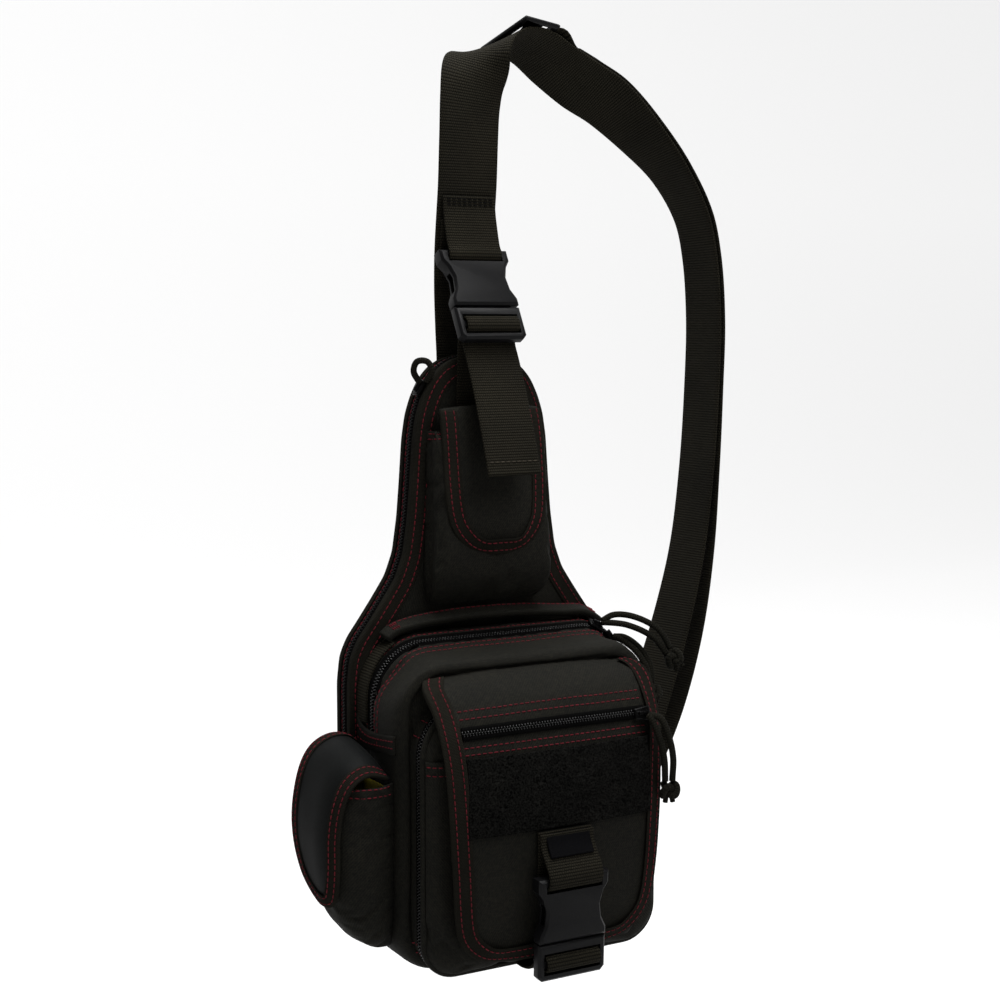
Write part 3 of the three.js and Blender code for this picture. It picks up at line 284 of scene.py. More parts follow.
def sweepPiece(name, centres, frames, profile, material, closed=False):  # a profile drawn along a path
    sideways, outward = frames
    profile = np.asarray(profile, float)
    grid = centres[:, None] + sideways[:, None] * profile[:, 0:1] + outward[:, None] * profile[:, 1:2]
    n, m = grid.shape[:2]
    numbers = np.arange(n * m).reshape(n, m)
    numbers = np.hstack([numbers, numbers[:, :1]])
    rows = np.vstack([numbers, numbers[:1]]) if closed else numbers
    faces = quads(rows.T).tolist()
    if not closed:
        faces += [numbers[0, -2::-1].tolist(), numbers[-1, :-1].tolist()]
    flat = np.stack(np.meshgrid(runLength(profile), runLength(centres)), -1).reshape(-1, 2)
    return meshPiece(name, grid.reshape(-1, 3), faces, flat, material)


def circle(radius, sides):
    turn = np.arange(sides) * 2 * math.pi / sides
    return np.stack([np.cos(turn), np.sin(turn)], 1) * radius


def pathFrames(path, normals):  # the sideways direction of a path that lies on a face
    along = unit(np.gradient(path, axis=0))
    normals = unit(normals - along * np.sum(normals * along, -1, keepdims=True))
    return along, unit(np.cross(along, normals)), normals


def copiesPiece(name, template, spots, material):  # many copies of a small form, each at its own place and turn
    points, faces = template
    base = np.asarray(points, float)
    verts, allFaces, flats = [], [], []
    for i, (at, x, y, z) in enumerate(spots):
        verts.append(at + base[:, :1] * x + base[:, 1:2] * y + base[:, 2:3] * z)
        allFaces += [[k + i * len(base) for k in f] for f in faces]
        flats.append(base[:, :2])
    return meshPiece(name, np.concatenate(verts), allFaces, np.concatenate(flats), material)


def ovalTemplate(stations, sides):  # rings along x, each with half width, half height and lift
    points = []
    for x, wide, high, lift in stations:
        for k in range(sides):
            turn = 2 * math.pi * k / sides
            points.append((x, wide * math.cos(turn), lift + high * math.sin(turn)))
    faces = []
    for i in range(len(stations) - 1):
        for k in range(sides):
            j = (k + 1) % sides
            faces.append([i * sides + k, i * sides + j, (i + 1) * sides + j, (i + 1) * sides + k])
    faces.append(list(range(sides))[::-1])
    faces.append([(len(stations) - 1) * sides + k for k in range(sides)])
    return points, [f[::-1] for f in faces]


stitch = {"pitch": 4.0, "long": 3.2, "thread": 0.8, "sink": 0.35}


def stitchSpots(rows):
    spots = []
    for path, normals in rows:
        both = evenly(np.hstack([path, normals]), stitch["pitch"])
        for a, b in zip(both[:-1], both[1:]):
            along = unit(b[:3] - a[:3])
            out = unit(a[3:] - along * np.dot(a[3:], along))
            spots.append(((a[:3] + b[:3]) / 2 + out * 0.12, along, np.cross(out, along), out))
    return spots


def stitchPiece(name, rows, slot="canvas", thread=None):
    half, r, sink = stitch["long"] / 2, stitch["thread"] / 2, stitch["sink"]
    end, body = (r * 0.5, r * 0.5, -sink), (r, r, 0)
    template = ovalTemplate([(-half, *end), (-half * 0.55, *body), (half * 0.55, *body), (half, *end)], 5)
    return place(copiesPiece(name, template, stitchSpots(rows), thread or redThread), slot)


# Finishes

def linear(r, g, b):  # a colour as it is seen on screen, 0 to 255
    return tuple(((c / 255 + 0.055) / 1.055) ** 2.4 if c > 10 else c / 255 / 12.92 for c in (r, g, b)) + (1,)


def node(tree, kind, links=None, **settings):
    made = tree.nodes.new("ShaderNode" + kind)
    for key, value in settings.items():
        if key in made.inputs:
            made.inputs[key].default_value = value
        else:
            setattr(made, key, value)
    for socket, source in (links or {}).items():
        tree.links.new(source, made.inputs[socket])
    return made


def finish(name, rough, specular):
    material = bpy.data.materials.new(name)
    material.use_nodes = True
    tree = material.node_tree
    shader = tree.nodes["Principled BSDF"]
    shader.inputs["Roughness"].default_value = rough
    shader.inputs["Specular IOR Level"].default_value = specular
    return material, tree, shader


def flatScaled(tree, x, y):  # the cloth's own flat coordinates, in metres, times a scale
    coordinates = node(tree, "TexCoord")
    return node(tree, "Mapping", {"Vector": coordinates.outputs["UV"]}, Scale=(x, y, 1)).outputs[0]


def flatMillimetres(tree):  # across and along the cloth
    return node(tree, "SeparateXYZ", {"Vector": flatScaled(tree, 1000, 1000)}).outputs[:2]


def calc(tree, operation, *values):  # one sum on shader values
    made = node(tree, "Math", operation=operation)
    for socket, value in enumerate(values):
        if isinstance(value, (int, float)):
            made.inputs[socket].default_value = value
        else:
            tree.links.new(value, made.inputs[socket])
    return made.outputs[0]


def humps(tree, source, pitch):
    return calc(tree, "ABSOLUTE", calc(tree, "SINE", calc(tree, "MULTIPLY", source, math.pi / pitch)))


def ramp(tree, source, stops):
    made = node(tree, "ValToRGB", {"Fac": source})
    elements = made.color_ramp.elements
    while len(elements) < len(stops):
        elements.new(0.5)
    for element, (at, colour) in zip(elements, stops):
        element.position = at
        element.color = colour
    return made.outputs["Color"]


def bumped(tree, shader, height, strength, distance):
    bump = node(tree, "Bump", {"Height": height}, Strength=strength, Distance=distance)
    tree.links.new(bump.outputs[0], shader.inputs["Normal"])


def wornColour(tree, shader, colour, size=22):  # rubbed and dusty places, large and soft
    coordinates = node(tree, "TexCoord").outputs["Object"]
    wear = node(tree, "TexNoise", {"Vector": coordinates}, Scale=size, Detail=4, Roughness=0.6)
    shade = ramp(tree, wear.outputs["Fac"], [(0.3, (0.78, 0.78, 0.78, 1)), (0.72, (1.22, 1.2, 1.16, 1))])
    blend = node(tree, "Mix", data_type="RGBA", blend_type="MULTIPLY")
    blend.inputs["Factor"].default_value = 1
    tree.links.new(colour, blend.inputs[6])
    tree.links.new(shade, blend.inputs[7])
    tree.links.new(blend.outputs[2], shader.inputs["Base Color"])


def wovenCloth(name, dark, light, thread, rough, depth, specular):  # crossing threads of uneven thickness
    material, tree, shader = finish(name, rough, specular)
    fine = 1000 / thread
    warp = node(tree, "TexNoise", {"Vector": flatScaled(tree, fine, fine * 0.22)}, Scale=1, Detail=1)
    weft = node(tree, "TexNoise", {"Vector": flatScaled(tree, fine * 0.22, fine)}, Scale=1, Detail=1)
    height = calc(tree, "MAXIMUM", warp.outputs["Fac"], weft.outputs["Fac"])
    across, along = flatMillimetres(tree)
    slant = calc(tree, "ADD", across, calc(tree, "MULTIPLY", along, 0.8))
    twill = calc(tree, "SINE", calc(tree, "MULTIPLY", slant, math.pi / thread))
    height = calc(tree, "ADD", height, calc(tree, "MULTIPLY", twill, 0.11))
    wornColour(tree, shader, ramp(tree, height, [(0.42, linear(*dark)), (0.72, linear(*light))]))
    bumped(tree, shader, height, 0.55, depth / 1000)
    return material


def ribbedTape(name, dark, light, rib, bead, rough, depth, specular):  # ribs across the tape, broken into beads
    material, tree, shader = finish(name, rough, specular)
    across, along = flatMillimetres(tree)
    ribNumber = calc(tree, "FLOOR", calc(tree, "DIVIDE", along, rib))
    shift = calc(tree, "MULTIPLY", calc(tree, "MODULO", ribNumber, 2), bead / 2)  # every second rib
    beads = humps(tree, calc(tree, "ADD", across, shift), bead)
    beads = calc(tree, "ADD", calc(tree, "MULTIPLY", beads, 0.55), 0.45)
    height = calc(tree, "MULTIPLY", calc(tree, "POWER", humps(tree, along, rib), 0.6), beads)
    fuzz = node(tree, "TexNoise", {"Vector": flatScaled(tree, 1500, 1500)}, Scale=1, Detail=1)
    grain = calc(tree, "ADD", height, calc(tree, "MULTIPLY", fuzz.outputs["Fac"], 0.3))
    wornColour(tree, shader, ramp(tree, grain, [(0.3, linear(*dark)), (1.05, linear(*light))]))
    bumped(tree, shader, grain, 0.8, depth / 1000)
    return material


def grainedFinish(name, dark, light, rough, size, depth, specular):  # moulded, coated or spun, with a fine grain
    material, tree, shader = finish(name, rough, specular)
    coordinates = node(tree, "TexCoord").outputs["Object"]
    grain = node(tree, "TexNoise", {"Vector": coordinates}, Scale=1000 / size, Detail=3, Roughness=0.6).outputs["Fac"]
    wornColour(tree, shader, ramp(tree, grain, [(0.35, linear(*dark)), (0.65, linear(*light))]), 60)
    bumped(tree, shader, grain, 0.35, depth / 1000)
    return material


bagCloth = wovenCloth("bag cloth", (7, 7, 5), (22, 21, 16), 0.9, 0.85, 0.35, 0.1)
smoothCloth = wovenCloth("side flap cloth", (7, 8, 8), (12, 13, 13), 0.6, 0.62, 0.12, 0.045)
tapeCloth = ribbedTape("binding tape", (9, 8, 7), (26, 25, 21), 0.9, 1.1, 0.9, 0.25, 0.02)
strapWeb = ribbedTape("webbing", (2, 2, 1), (30, 28, 22), 1.85, 1.65, 0.85, 0.7, 0.04)
redThread = grainedFinish("red thread", (58, 12, 19), (91, 23, 32), 0.75, 0.4, 0.05, 0.08)
paleThread = grainedFinish("pale thread", (34, 31, 26), (54, 49, 41), 0.75, 0.4, 0.05, 0.08)
zipTapeCloth = ribbedTape("zip tape", (2, 2, 2), (8, 8, 8), 1.0, 0.8, 0.9, 0.2, 0.01)
zipCoil = grainedFinish("zip coil", (5, 5, 5), (12, 12, 12), 0.2, 0.8, 0.04, 0.28)
dullCoil = grainedFinish("dull zip coil", (5, 5, 5), (11, 11, 11), 0.5, 0.8, 0.04, 0.06)
sliderPaint = grainedFinish("slider paint", (3, 3, 3), (8, 8, 8), 0.26, 2, 0.02, 0.05)
buckleResin = grainedFinish("buckle resin", (6, 6, 7), (13, 13, 14), 0.4, 0.7, 0.06, 0.08)
loopPile = grainedFinish("loop pile", (1, 1, 1), (22, 22, 21), 0.95, 1.0, 0.6, 0.0)
cordBraid = ribbedTape("pull cord braid", (5, 5, 4), (24, 23, 18), 1.6, 1.5, 0.85, 0.4, 0.05)
yellowLining = wovenCloth("yellow lining", (110, 100, 10), (150, 138, 20), 0.6, 0.8, 0.15, 0.15)
bareLabel = wovenCloth("bare label", (2, 2, 3), (6, 6, 8), 0.5, 0.7, 0.1, 0.03)
darkThread = grainedFinish("dark thread", (3, 3, 3), (9, 9, 9), 0.75, 0.4, 0.05, 0.03)
print("finishes ready")


# Shared cuts: rings of the bag's boxes, seen from the front

def ringOutward(ring):  # the way out of a ring of x and z, with no depth
    ahead = unit(np.roll(ring, -1, 0) - np.roll(ring, 1, 0))
    return np.stack([-ahead[:, 1], np.zeros(len(ring)), ahead[:, 0]], 1)


def insetRing(ring, by):
    return ring - ringOutward(ring)[:, ::2] * by


quarter = 39  # points of a box ring from one corner's start to the next


def boxRing(half, top, bottom, left, right, low):  # from the foot's left corner up the left side
    corner = quarter // 3
    corners = [
        (-half + low, bottom + low, low, 270), (-half + left, top - left, left, 180),
        (half - right, top - right, right, 90), (half - low, bottom + low, low, 0),
    ]
    ring = []
    for i, (x, z, radius, turn) in enumerate(corners):
        angle = np.radians(np.linspace(turn, turn - 90, corner))
        ring += list(np.stack([x + radius * np.cos(angle), z + radius * np.sin(angle)], 1))
        nx, nz, nr, nturn = corners[(i + 1) % 4]
        stop = np.array([nx + nr * math.cos(math.radians(nturn)), nz + nr * math.sin(math.radians(nturn))])
        ring += [mix(ring[-1], stop, t) for t in np.linspace(0, 1, quarter - corner + 2)[1:-1]]
    return np.array(ring)


def laid(ring, y):
    return np.stack([ring[:, 0], np.full(len(ring), y), ring[:, 1]], 1)


def bandGrid(table, count):  # rings at their depths; table rows: y, half, top, bottom, left, right, low
    return np.stack([laid(boxRing(*row[1:]), row[0]) for row in smoothRows(table, count)], 1)


def sewOn(made, name, thick, *nodes):
    return place(made.build(name, thick, bagCloth), "canvas", *nodes)


edgeTape = {"width": 12.5, "thick": 0.6, "wrap": 4.5, "rows": (3.0, 9.8)}


def tapeProfile(width, wrap, thick):  # over the face, round the edge and a little way down the side
    top = [
        (width, -0.2), (width, thick * 0.5), (width - 0.25, thick * 0.9), (width - 0.8, thick), (width * 0.5, thick),
        (1.2, thick),
    ]
    turn = [(0.2, thick * 0.9), (-0.5, thick * 0.55), (-0.85, -0.1), (-0.9, -0.8)]
    under = [(-0.9, -wrap * 0.7), (-0.8, -wrap), (-0.05, -wrap), (-0.05, -0.6), (0.6, -0.15), (width * 0.5, -0.2)]
    return top + turn + under


def boundEdge(name, path, faceNormal, inward, closed=False, width=edgeTape["width"], wrap=edgeTape["wrap"]):
    profile = tapeProfile(width, wrap, edgeTape["thick"])
    place(sweepPiece(name, path, (inward, faceNormal), profile, tapeCloth, closed), "canvas")
    lift = edgeTape["thick"] + 0.05
    rows = [(path + inward * a * width / edgeTape["width"] + faceNormal * lift, faceNormal) for a in edgeTape["rows"]]
    if closed:
        rows = [(np.vstack([p, p[:1]]), np.vstack([q, q[:1]])) for p, q in rows]
    return rows  # for the thread


zipTeeth = {"pitch": 1.05, "reach": 2.2, "wire": 0.95}


def zipAlong(name, path, outward, width, nodeName, wire=zipCoil):  # a tape with two rows of coil along its middle
    along, sideways, outward = pathFrames(path, outward)
    half = width / 2
    profile = [(-half, -0.3), (-half, 0.4), (-2.6, 0.5), (0, 0.3), (2.6, 0.5), (half, 0.4), (half, -0.3), (0, -0.4)]
    place(sweepPiece(name + " tape", path, (sideways, outward), profile, zipTapeCloth), "zip", nodeName)
    spots = []
    for i, row in enumerate(evenly(np.hstack([path, sideways, outward, along]), zipTeeth["pitch"])):
        at, side, out, ahead = row[:3], unit(row[3:6]), unit(row[6:9]), unit(row[9:])
        sign = 1 if i % 2 else -1
        slant = unit(side * sign + ahead * 0.16)
        spots.append((at + side * sign * zipTeeth["reach"] * 0.42 + out * 0.75, slant, np.cross(out, slant), out))
    r, half = zipTeeth["wire"] / 2, zipTeeth["reach"] / 2
    stations = [
        (-half, r * 0.8, r * 0.9, 0), (-half * 0.6, r * 1.15, r * 1.25, 0.12), (half * 0.5, r, r, 0.15),
        (half, r * 0.6, r * 0.6, -0.35),
    ]
    place(copiesPiece(name + " coil", ovalTemplate(stations, 6), spots, wire), "zip")


# Back compartment

backCompartment = {
    "deep": 20.0, "puff": 2.2, "padTop": 318, "channelLow": 65, "channelGap": 62, "channelSink": 1.6, "wrinkle": 0.35,
    "zipY": -12.2, "zipWidth": 7.2, "zipLow": 99,
}
neckOutline = [  # half width by height
    (0, 70), (4, 82), (12, 92), (28, 98), (70, 99), (130, 99), (180, 99), (197, 97), (208, 92), (220, 83), (234, 73),
    (248, 63.5), (264, 57.5), (288, 54), (312, 52), (340, 50), (356, 47.5), (368, 43.5), (379, 38), (387, 31),
    (392, 23), (395, 12),
]


def compartmentSide(step):  # the outline's left side, from the foot to the crown
    rows = np.array(neckOutline, float)
    return evenly(np.stack([-rows[:, 1], rows[:, 0]], 1), step)


def compartmentRing(step=2.2):  # all the way round, from the foot's left end up and over
    left = compartmentSide(step)
    for _ in range(3):
        left[1:-1] = (left[:-2] + 2 * left[1:-1] + left[2:]) / 4
    right = left[::-1] * [-1, 1]
    crown = evenly(np.array([left[-1], right[0]]), step)[1:-1]
    foot = evenly(np.array([right[-1], left[0]]), step)[1:-1]
    return np.vstack([left, crown, right, foot])


def compartmentPanel(faceY, outward, columns=54):
    share = np.linspace(-1, 1, columns)
    side = compartmentSide(2.6)
    grid = np.stack([np.stack([-x * share, np.full(columns, faceY), np.full(columns, z)], 1) for x, z in side])
    return faceAway(Sheet(grid), (0, outward, 0))


ring = compartmentRing()
ringOut = ringOutward(ring)

backPanel = compartmentPanel(0, 1)
height = backPanel.grid[..., 2]
lower = np.clip((backCompartment["padTop"] - height) / 30, 0, 1)
backPanel.push(backCompartment["puff"] * backPanel.edgeFade(5) ** 0.5 * lower)
low, gap = backCompartment["channelLow"], backCompartment["channelGap"]
fromChannel = np.abs(np.mod(height - low + gap / 2, gap) - gap / 2)
channel = 1 - np.clip(fromChannel / 7, 0, 1) ** 0.7
backPanel.push(-backCompartment["channelSink"] * channel * backPanel.edgeFade(6) * lower * (height > 40))
backPanel.crease(backCompartment["wrinkle"], 38, 2, backPanel.edgeFade(8) * lower)
obj = sewOn(backPanel, "back panel", 4.2, "back_panel")
channelRows = []
for z in range(low, backCompartment["padTop"], gap):
    row = np.argmin(np.abs(height[:, 0] - z))
    channelRows.append(backPanel.level(row / (len(height) - 1), 0.07, 0.93, 40))

shellFront = compartmentPanel(-backCompartment["deep"], -1)
shellFront.wrinkle(0.3, 30, 5, 6)
sewOn(shellFront, "neck panel", 2.2, "shell_front_panel")

inner = insetRing(ring, 0.6)
shellGusset = outwardSheet(np.stack([laid(inner, y) for y in np.linspace(-4.2, -17.4, 9)], 1), True, (0, -11, 200))
shellGusset.push(0.5 * np.sin(np.linspace(0, np.pi, 9))[None, :] * np.ones((len(ring), 1)))
shellGusset.wrinkle(0.3, 21, 8, 2)
sewOn(shellGusset, "compartment gusset", 1.6, "shell_gusset_rear", "shell_gusset_front", "shell_gusset_base")

above = np.flatnonzero(ring[:, 1] >= backCompartment["zipLow"])
zipSpan = slice(above.min(), above.max() + 1)
zipPath = laid(insetRing(ring, -0.25), backCompartment["zipY"])[zipSpan]
zipAlong("compartment zip", zipPath, ringOut[zipSpan], backCompartment["zipWidth"], "shell_zip", dullCoil)

front = np.tile([0.0, -1.0, 0.0], (len(ring), 1))
redRows = boundEdge("front binding", laid(ring, -backCompartment["deep"]), front, -ringOut, True)
redRows += boundEdge("back binding", laid(ring, 0.0), -front, -ringOut, True)
redRows.append((laid(insetRing(ring, -0.15), -7.0)[zipSpan], ringOut[zipSpan]))
stitchPiece("compartment stitching", redRows)
stitchPiece("channel stitching", channelRows)
print("back compartment ready")

# Main compartment

mainCompartment = {
    "zipRear": -36.3, "zipFront": -42.9, "zipWidth": 8.6, "zipLowLeft": 145, "zipLowRight": 158,
    "swell": 0.02, "cap": 2.2,
}
mainRear = [
    (-20.6, 91.5, 212, 2, 38, 25, 24), (-28, 93, 212.5, 1.5, 39, 25, 25), (-36.2, 93.4, 211.5, 1.5, 39, 25, 25),
]
mainFront = [  # the last rows roll over into the front edge
    (-43.0, 92, 206, 2, 37, 25, 25), (-46.5, 92.8, 204.6, 2, 37, 25, 25), (-51, 93.3, 202.6, 2, 36.5, 25, 25),
    (-58, 93.5, 201.4, 2, 36, 25, 25), (-67, 93.4, 200.8, 2.3, 34, 24, 25), (-74, 93, 200.6, 2.6, 31.5, 24, 25),
    (-79, 92, 199.8, 3.4, 28.5, 24, 24), (-83, 90.6, 198.8, 4.6, 26, 23, 23.5),
    (-84.6, 88.2, 196.5, 6.8, 24.5, 23, 23), (-84, 86, 194.6, 9, 23.5, 22, 22),
    (-81, 84.6, 193.4, 10.4, 22.5, 22, 22),
]

mainMiddle = (0, -50, 105)
mainRearBand = outwardSheet(bandGrid(mainRear, 8), True, mainMiddle)
mainRearBand.wrinkle(0.35, 26, 11, 2)
sewOn(mainRearBand, "main gusset rear", 1.8, "main_gusset_rear")
mainFrontBand = outwardSheet(bandGrid(mainFront, 36), True, mainMiddle)
settle(mainFrontBand, mainCompartment["swell"], mainCompartment["cap"], 4)
mainFrontBand.wrinkle(0.7, 34, 12, 3)
sewOn(mainFrontBand, "main gusset front", 1.8, "main_gusset_front")

zipRear = laid(boxRing(*mainRear[-1][1:]), mainCompartment["zipRear"])
zipFront = laid(boxRing(*mainFront[0][1:]), mainCompartment["zipFront"])
zipMiddle = mix(zipRear, zipFront, 0.5)
ahead = unit(np.roll(zipMiddle, -1, 0) - np.roll(zipMiddle, 1, 0))
zipFace = unit(np.cross(zipFront - zipRear, ahead))
zipFace *= np.sign(np.sum(zipFace * (zipMiddle - mainMiddle), -1).mean())
crown = 2 * quarter
left = np.flatnonzero(zipMiddle[:crown, 2] >= mainCompartment["zipLowLeft"]).min()
right = crown + np.flatnonzero(zipMiddle[crown:, 2] >= mainCompartment["zipLowRight"]).max()
upper = np.arange(left, right + 1)
zipAlong("main zip", (zipMiddle - 0.3 * zipFace)[upper], zipFace[upper], mainCompartment["zipWidth"], "main_zip")
foot = np.roll(np.arange(len(zipMiddle)), -(right + 1))[: len(zipMiddle) - len(upper) + 4]
footGrid = np.stack([mix(zipRear, zipFront, t)[foot] for t in (0.01, 0.34, 0.67, 0.99)], 1)
sewOn(outwardSheet(footGrid, False, mainMiddle), "main gusset foot", 1.8, "main_gusset_base")
mouth = boxRing(85.4, 194.2, 9.6, 22.5, 22, 22)
mouthMiddle = mouth.mean(0)
frontGrid = np.stack([laid(mix(mouthMiddle, mouth, t), -81.0) for t in np.linspace(1, 0.02, 10)], 1)
sewOn(outwardSheet(frontGrid, True, mainMiddle), "main front panel", 1.8, "main_front_panel")

archShare = upper / len(zipMiddle)
redRows = [mainRearBand.line(archShare, np.full(len(upper), 0.8))]
redRows += [mainFrontBand.line(archShare, np.full(len(upper), share)) for share in (0.13, 0.22)]
stitchPiece("main stitching", redRows)
print("main compartment ready")

# Front pocket

frontPocket = {"zipY": -93.0, "zipWidth": 7.4, "piping": 2.4, "swell": 0.015, "cap": 2.0}
pocketGusset = [
    (-80.3, 87.4, 178.4, 4.4, 33, 26, 22), (-82.6, 85.8, 176.8, 5.6, 32.6, 26, 22),
    (-86, 85.8, 177, 5.4, 32.6, 26, 22), (-89.7, 86.2, 177.5, 5, 33, 26, 22),
]
pocketFace = [
    (-96.3, 86.4, 177.5, 4.5, 33, 26, 22), (-101, 86, 177, 4.5, 33, 26, 22), (-105, 84, 174.5, 6.5, 32, 26, 22),
    (-108, 80, 170, 10, 30, 25, 21), (-109.2, 72, 160, 17, 28, 24, 20),
]
pocketMiddle = (0, -96, 90)
pocketBand = outwardSheet(bandGrid(pocketGusset, 10), True, pocketMiddle)
pocketBand.wrinkle(0.3, 24, 15, 2)
sewOn(pocketBand, "front pocket gusset", 1.8, "front_pocket_gusset")
faceRings = bandGrid(pocketFace, 16)
centre = np.array([0, -110.0, 88])
closing = [mix(faceRings[:, -1], centre, t) for t in np.linspace(0, 0.985, 18)[1:]]
pocketPanel = outwardSheet(np.concatenate([faceRings, np.stack(closing, 1)], 1), True, (0, -80, 90))
column = np.arange(pocketPanel.grid.shape[1])[None, :]
settle(pocketPanel, frontPocket["swell"], frontPocket["cap"], 6, column >= 16)
pocketPanel.crease(0.5, 30, 16, pocketPanel.edgeFade(3) * (column < 18))
x, y, z = np.moveaxis(pocketPanel.grid, -1, 0)
panel = pocketPanel.build("front pocket panel", 1.8, bagCloth, np.stack([x, z - y], -1))  # the weave runs upright
place(panel, "canvas", "front_pocket_panel")
zipRing = boxRing(86.4, 177.5, 5, 33, 26, 22)
zipSpan = np.arange(2, 4 * quarter - 28)  # from low on the left, over the top, to part way down the right
zipPath = laid(zipRing, frontPocket["zipY"])[zipSpan]
zipAlong("front pocket zip", zipPath, ringOutward(zipRing)[zipSpan], frontPocket["zipWidth"], "front_pocket_zip")
foot = np.concatenate([np.arange(zipSpan[-1], len(zipRing)), np.arange(0, 4)])
footGrid = np.stack([laid(zipRing[foot], y) for y in (-89.9, -92, -94, -96.2)], 1)
sewOn(outwardSheet(footGrid, False, pocketMiddle), "front pocket foot", 1.4, "front_pocket_base")

pocketRing = boxRing(86.3, 177.4, 4.5, 33, 26, 22)
back = np.tile([0.0, 1.0, 0.0], (len(pocketRing), 1))
pipePath = laid(insetRing(pocketRing, -0.3), -99.2)
pipeFrames, pipeProfile = (back, ringOutward(pocketRing)), circle(frontPocket["piping"], 10)
place(sweepPiece("front pocket piping", pipePath, pipeFrames, pipeProfile, bagCloth, True), "canvas")

slipLine = [(0, -112.2), (35, -112.1), (60, -111.7), (72, -110.9), (80, -109.4), (84.4, -106.4), (87, -102.6)]
slipLine = smoothRows([(-x, y) for x, y in slipLine[:0:-1]] + slipLine, 64)
slip = []
for z in np.linspace(12, 145, 45):
    narrow = 1 - 0.24 * np.clip((44 - z) / 32, 0, 1) ** 1.6
    slip.append([(x * narrow, y, z) for x, y in slipLine])
slipPocket = outwardSheet(slip, False, (0, -80, 80))
slipPocket.wrinkle(0.25, 28, 18, 4)
sewOn(slipPocket, "slip pocket", 1.4, "slip_pocket")
redRows = [slipPocket.level(t, 0.01, 0.99, 60) for t in (0.975, 0.935)]
joins = (8, 10.5, 42, 44.5)  # the ring's points where the gusset is joined
redRows += [pocketBand.level(t / len(zipRing), 0.08, 0.97, 12) for t in joins]
stitchPiece("front pocket stitching", redRows)
print("front pocket ready")

# Front flap

frontFlap = {
    "thick": 2.2, "curl": 3.4, "binding": 2.6, "zipZ": 163.2, "zipWidth": 8.6, "threadZ": (176.8, 172, 154.6, 150.2),
    "loopTop": 148.0, "loopLow": 98.0, "loopHalf": 68.0, "loopThick": 2.0, "loopLift": 2.4, "swell": 0.006, "cap": 1.2,
}
flapRows = [  # y, z, half width, from the sewn top to the hem
    (-79.2, 194.2, 75), (-84.6, 194.2, 78), (-91, 192.4, 81.5), (-100, 187, 83.2), (-108, 177.5, 82.5),
    (-114.5, 164, 81.5), (-119, 149, 80.5), (-121.5, 132, 79.5), (-122.8, 112, 78.5), (-123.2, 92, 77.5),
    (-123, 72, 76.2), (-121.8, 50, 74.6), (-119.8, 34, 71.5), (-118.4, 23, 65), (-117.4, 15, 53), (-117, 12, 36),
]


def flapSheet(rows, count, columns, thick, curl):
    rows = smoothRows(rows, count)
    slope = unit(np.gradient(rows[:, :2], axis=0))
    ny, nz = slope[:, 1:2], -slope[:, 0:1]  # out of the flap's face
    share = np.linspace(-1, 1, columns)[None, :]
    off = thick / 2 - curl * np.abs(share) ** 2.5
    return Sheet(np.stack([rows[:, 2:3] * share, rows[:, 0:1] + ny * off, rows[:, 1:2] + nz * off], -1))


def eased(rows, passes, back=0.5):  # rounds off kinks; a negative way back keeps the run from shrinking
    rows = rows.copy()
    for k in range(passes):
        rows[1:-1] += (back if k % 2 else 0.5) * ((rows[:-2] + rows[2:]) / 2 - rows[1:-1])
    return rows


def rimOf(made, start=0):  # down the left edge, along the hem and up the right edge, with the way in to the cloth
    grid, normal = made.grid, made.normals()
    path = np.vstack([grid[start:, 0], grid[-1, 1:-1], grid[::-1, -1][: len(grid) - start]])
    out = np.vstack([normal[start:, 0], normal[-1, 1:-1], normal[::-1, -1][: len(grid) - start]])
    both = evenly(np.hstack([path, out]), 1.6)
    path, out = eased(both[:, :3], 90, -0.52), unit(eased(both[:, 3:], 60))
    _, sideways, out = pathFrames(path, out)
    middle = grid.reshape(-1, 3).mean(0)
    sign = np.sign(np.sum(sideways * (middle - path), -1).mean())
    return path, out, unit(eased(sideways * sign, 16))


def shareAt(made, z):  # how far down a flap a height is, on its middle line
    heights = made.grid[:, made.grid.shape[1] // 2, 2]
    return float(np.interp(-z, -heights, np.linspace(0, 1, len(heights))))


def acrossAt(made, z, half, count=90):
    row = np.full(count, shareAt(made, z))
    i = int(round(row[0] * (len(made.grid) - 1)))
    wide = abs(made.grid[i, -1, 0])
    return made.line(row, 0.5 + np.linspace(-half, half, count) / wide / 2)


flap = faceAway(flapSheet(flapRows, 110, 84, frontFlap["thick"], frontFlap["curl"]), (0, -1, 0.2))
settle(flap, frontFlap["swell"], frontFlap["cap"], 9)
flap.wrinkle(0.35, 46, 21, 6)
sewOn(flap, "front flap", frontFlap["thick"], "front_flap")
redRows = boundEdge("front flap binding", *rimOf(flap, 3), wrap=frontFlap["binding"])
redRows += [acrossAt(flap, z, frontFlap["loopHalf"]) for z in frontFlap["threadZ"]]
stitchPiece("front flap stitching", redRows)
path, out = acrossAt(flap, frontFlap["zipZ"], frontFlap["loopHalf"])
zipAlong("flap zip", path + out * 0.9, out, frontFlap["zipWidth"], "flap_zip")
flapFront = flap.line(np.linspace(0, 1, 220), np.full(220, 0.5))[0]


def flapY(z):  # the flap's face on its middle line
    return float(np.interp(-z, -flapFront[:, 2], flapFront[:, 1]))


def onFlap(top, low, half, lift, rows, columns):  # a patch that follows the flap's face
    across = np.linspace(-half, half, columns)
    bend = frontFlap["curl"] * np.minimum(1, np.abs(across) / 79) ** 2.5
    heights = np.linspace(top, low, rows)
    return Sheet(np.array([[(x, flapY(z) - lift + b, z) for x, b in zip(across, bend)] for z in heights]))


